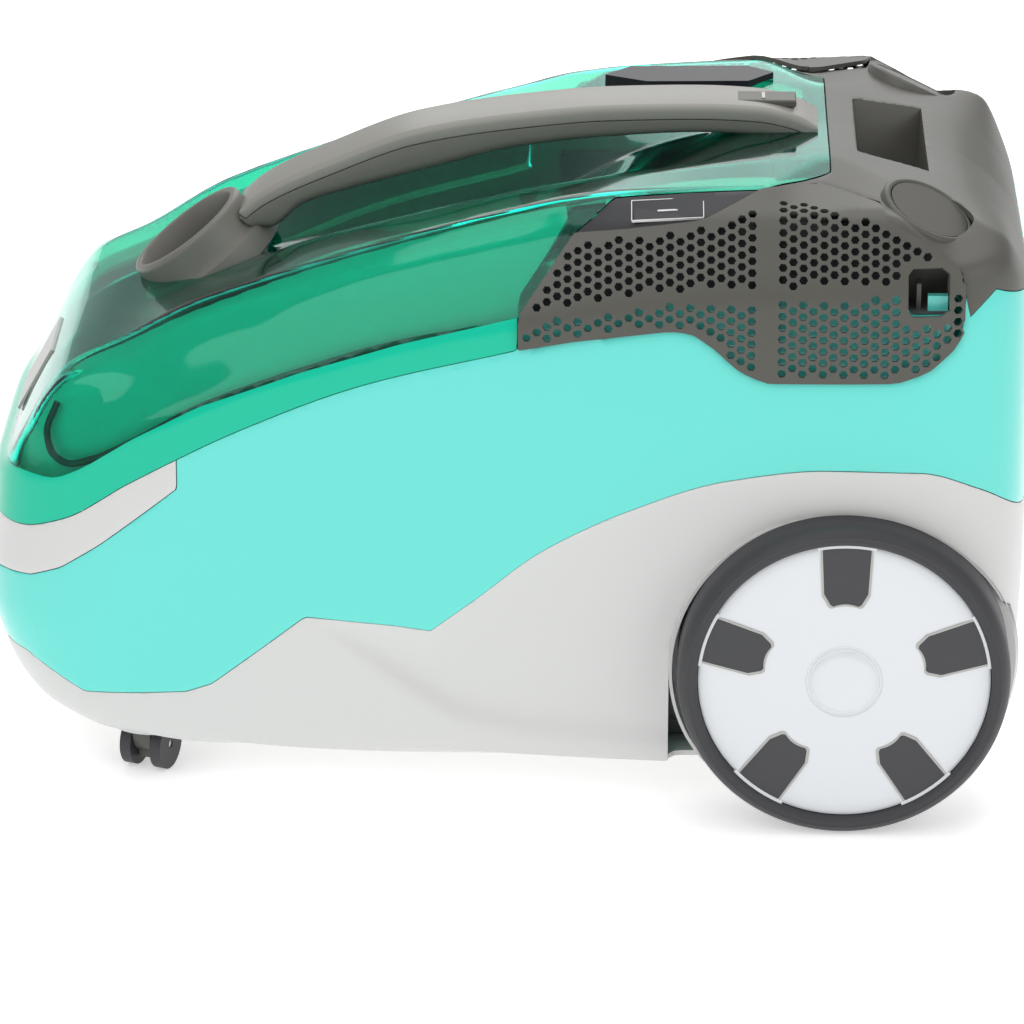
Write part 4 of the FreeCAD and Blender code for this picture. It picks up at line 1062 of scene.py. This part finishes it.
def key_marks(side):
    """Plain printed marks on a control panel: the key's outline, drawn as four bars, and its sign."""
    normal = Vector((-0.06, side * 0.36, 0.93)).normalized()
    turn = np.array(Vector((0, 0, 1)).rotation_difference(normal).to_matrix())
    bars = [((-4.5, -0.5), (4.5, 0.5))]
    if side > 0:
        bars.append(((-0.5, -4.5), (0.5, 4.5)))
    bars += [((-16.4, -7.2), (16.4, -6.8)), ((-16.4, 6.8), (16.4, 7.2)), ((-16.4, -7.2), (-16.0, 7.2)),
             ((16.0, -7.2), (16.4, 7.2))]
    meshes = []
    for index, (low, high) in enumerate(bars):
        sign = index < (2 if side > 0 else 1)
        low_z, high_z = (-0.3, 0.15) if sign else (-0.3, 0.9)
        meshes.append(block((low[0], low[1], low_z), (high[0], high[1], high_z)))
    points, faces = joined(*meshes)
    spot = np.array((KEY_SPOT[0], side * KEY_SPOT[1], KEY_SPOT[2]))
    marks = build("panel_marks_" + side_word(side), (points @ turn.T + spot, faces), ICON, "housing",
                  smooth=False)


def lid_seal():
    """Dark inner seal that follows the lid's lower edge and turns up at the nose."""
    path = [(-203, 186), (-208, 172), (-206, 163), (-198, 159), (-186, 163), (-168, 173), (-136, 192),
            (-90, 211), (-44, 226), (4, 236)]
    t = np.linspace(0, len(path) - 1, 60)
    xs = smooth_curve(range(len(path)), [p[0] for p in path], t)
    zs = smooth_curve(range(len(path)), [p[1] for p in path], t)
    ys = side_y(xs, zs, 4.6)
    for side in (-1, 1):
        spots = [(x, side * y, z) for x, y, z in zip(xs, ys, zs)]
        piece = build("lid_inner_seal_" + side_word(side), tube(spots, 1.7), DEEP_GREEN, "lid")


def release_cap():
    """The release button's finger plate, with a rib across it."""
    plate = build("release_plate", block((107.5, -7.5, 301.8), (135.5, 7.5, 305.6)), WARM_GREY, "release",
                  smooth=False)
    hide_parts("release_button")
    bevel(plate, 1.1)
    mesh = block((119.5, -4.5, 305.3), (121, 4.5, 305.95))
    piece = build("release_rib", mesh, SILVER, "release", smooth=False)


for side in (-1, 1):
    button_bezel(side)
    accessory_slot(side)
    key_marks(side)
lid_seal()
release_cap()

# ---------------------------------------------------------------- floor, light and camera
def studio():
    """A pale floor, an even sky and four square lights, each with its place, width and watts."""
    data = bpy.data.meshes.new("studio_floor")
    data.from_pydata([(-6, -6, 0), (6, -6, 0), (6, 6, 0), (-6, 6, 0)], [], [(0, 1, 2, 3)])
    floor = bpy.data.objects.new("studio_floor", data)
    bpy.context.scene.collection.objects.link(floor)
    data.materials.append(material("pale_floor", (0.95, 0.95, 0.95), 0.55, variation=0.02, emission=0.45))
    world = bpy.data.worlds.new("studio_world")
    world.use_nodes = True
    world.node_tree.nodes["Background"].inputs["Color"].default_value = (1, 1, 1, 1)
    world.node_tree.nodes["Background"].inputs["Strength"].default_value = 0.48
    bpy.context.scene.world = world
    lights = [("key_light", (-0.9, -1.5, 1.8), 1.6, 12), ("fill_light", (1.4, -1.2, 1.1), 1.4, 6),
              ("top_light", (0.1, 0.2, 2.2), 1.8, 16), ("back_light", (0.2, 1.9, 1.3), 1.6, 11)]
    for name, spot, width, power in lights:
        lamp = bpy.data.lights.new(name, "AREA")
        lamp.shape = "SQUARE"
        lamp.size = width
        lamp.energy = power
        obj = bpy.data.objects.new(name, lamp)
        obj.location = spot
        aim = Vector((0, 0, 0.12)) - Vector(spot)
        obj.rotation_euler = aim.to_track_quat("-Z", "Y").to_euler()
        bpy.context.scene.collection.objects.link(obj)


LENS, AZIMUTH, PITCH, DISTANCE = 205.3, math.radians(1.5), math.radians(21.68), 2.8
TARGET = Vector((0.00309, 0, 0.0956))


def camera():
    data = bpy.data.cameras.new("photo_camera")
    data.lens = LENS
    data.sensor_width = 36
    obj = bpy.data.objects.new("photo_camera", data)
    bpy.context.scene.collection.objects.link(obj)
    level = math.cos(PITCH)
    back = Vector((math.sin(AZIMUTH) * level, -math.cos(AZIMUTH) * level, math.sin(PITCH)))
    obj.location = TARGET + back * DISTANCE
    obj.rotation_euler = (-back).to_track_quat("-Z", "Y").to_euler()
    bpy.context.scene.camera = obj


studio()
camera()
bpy.context.scene.view_settings.view_transform = "Standard"
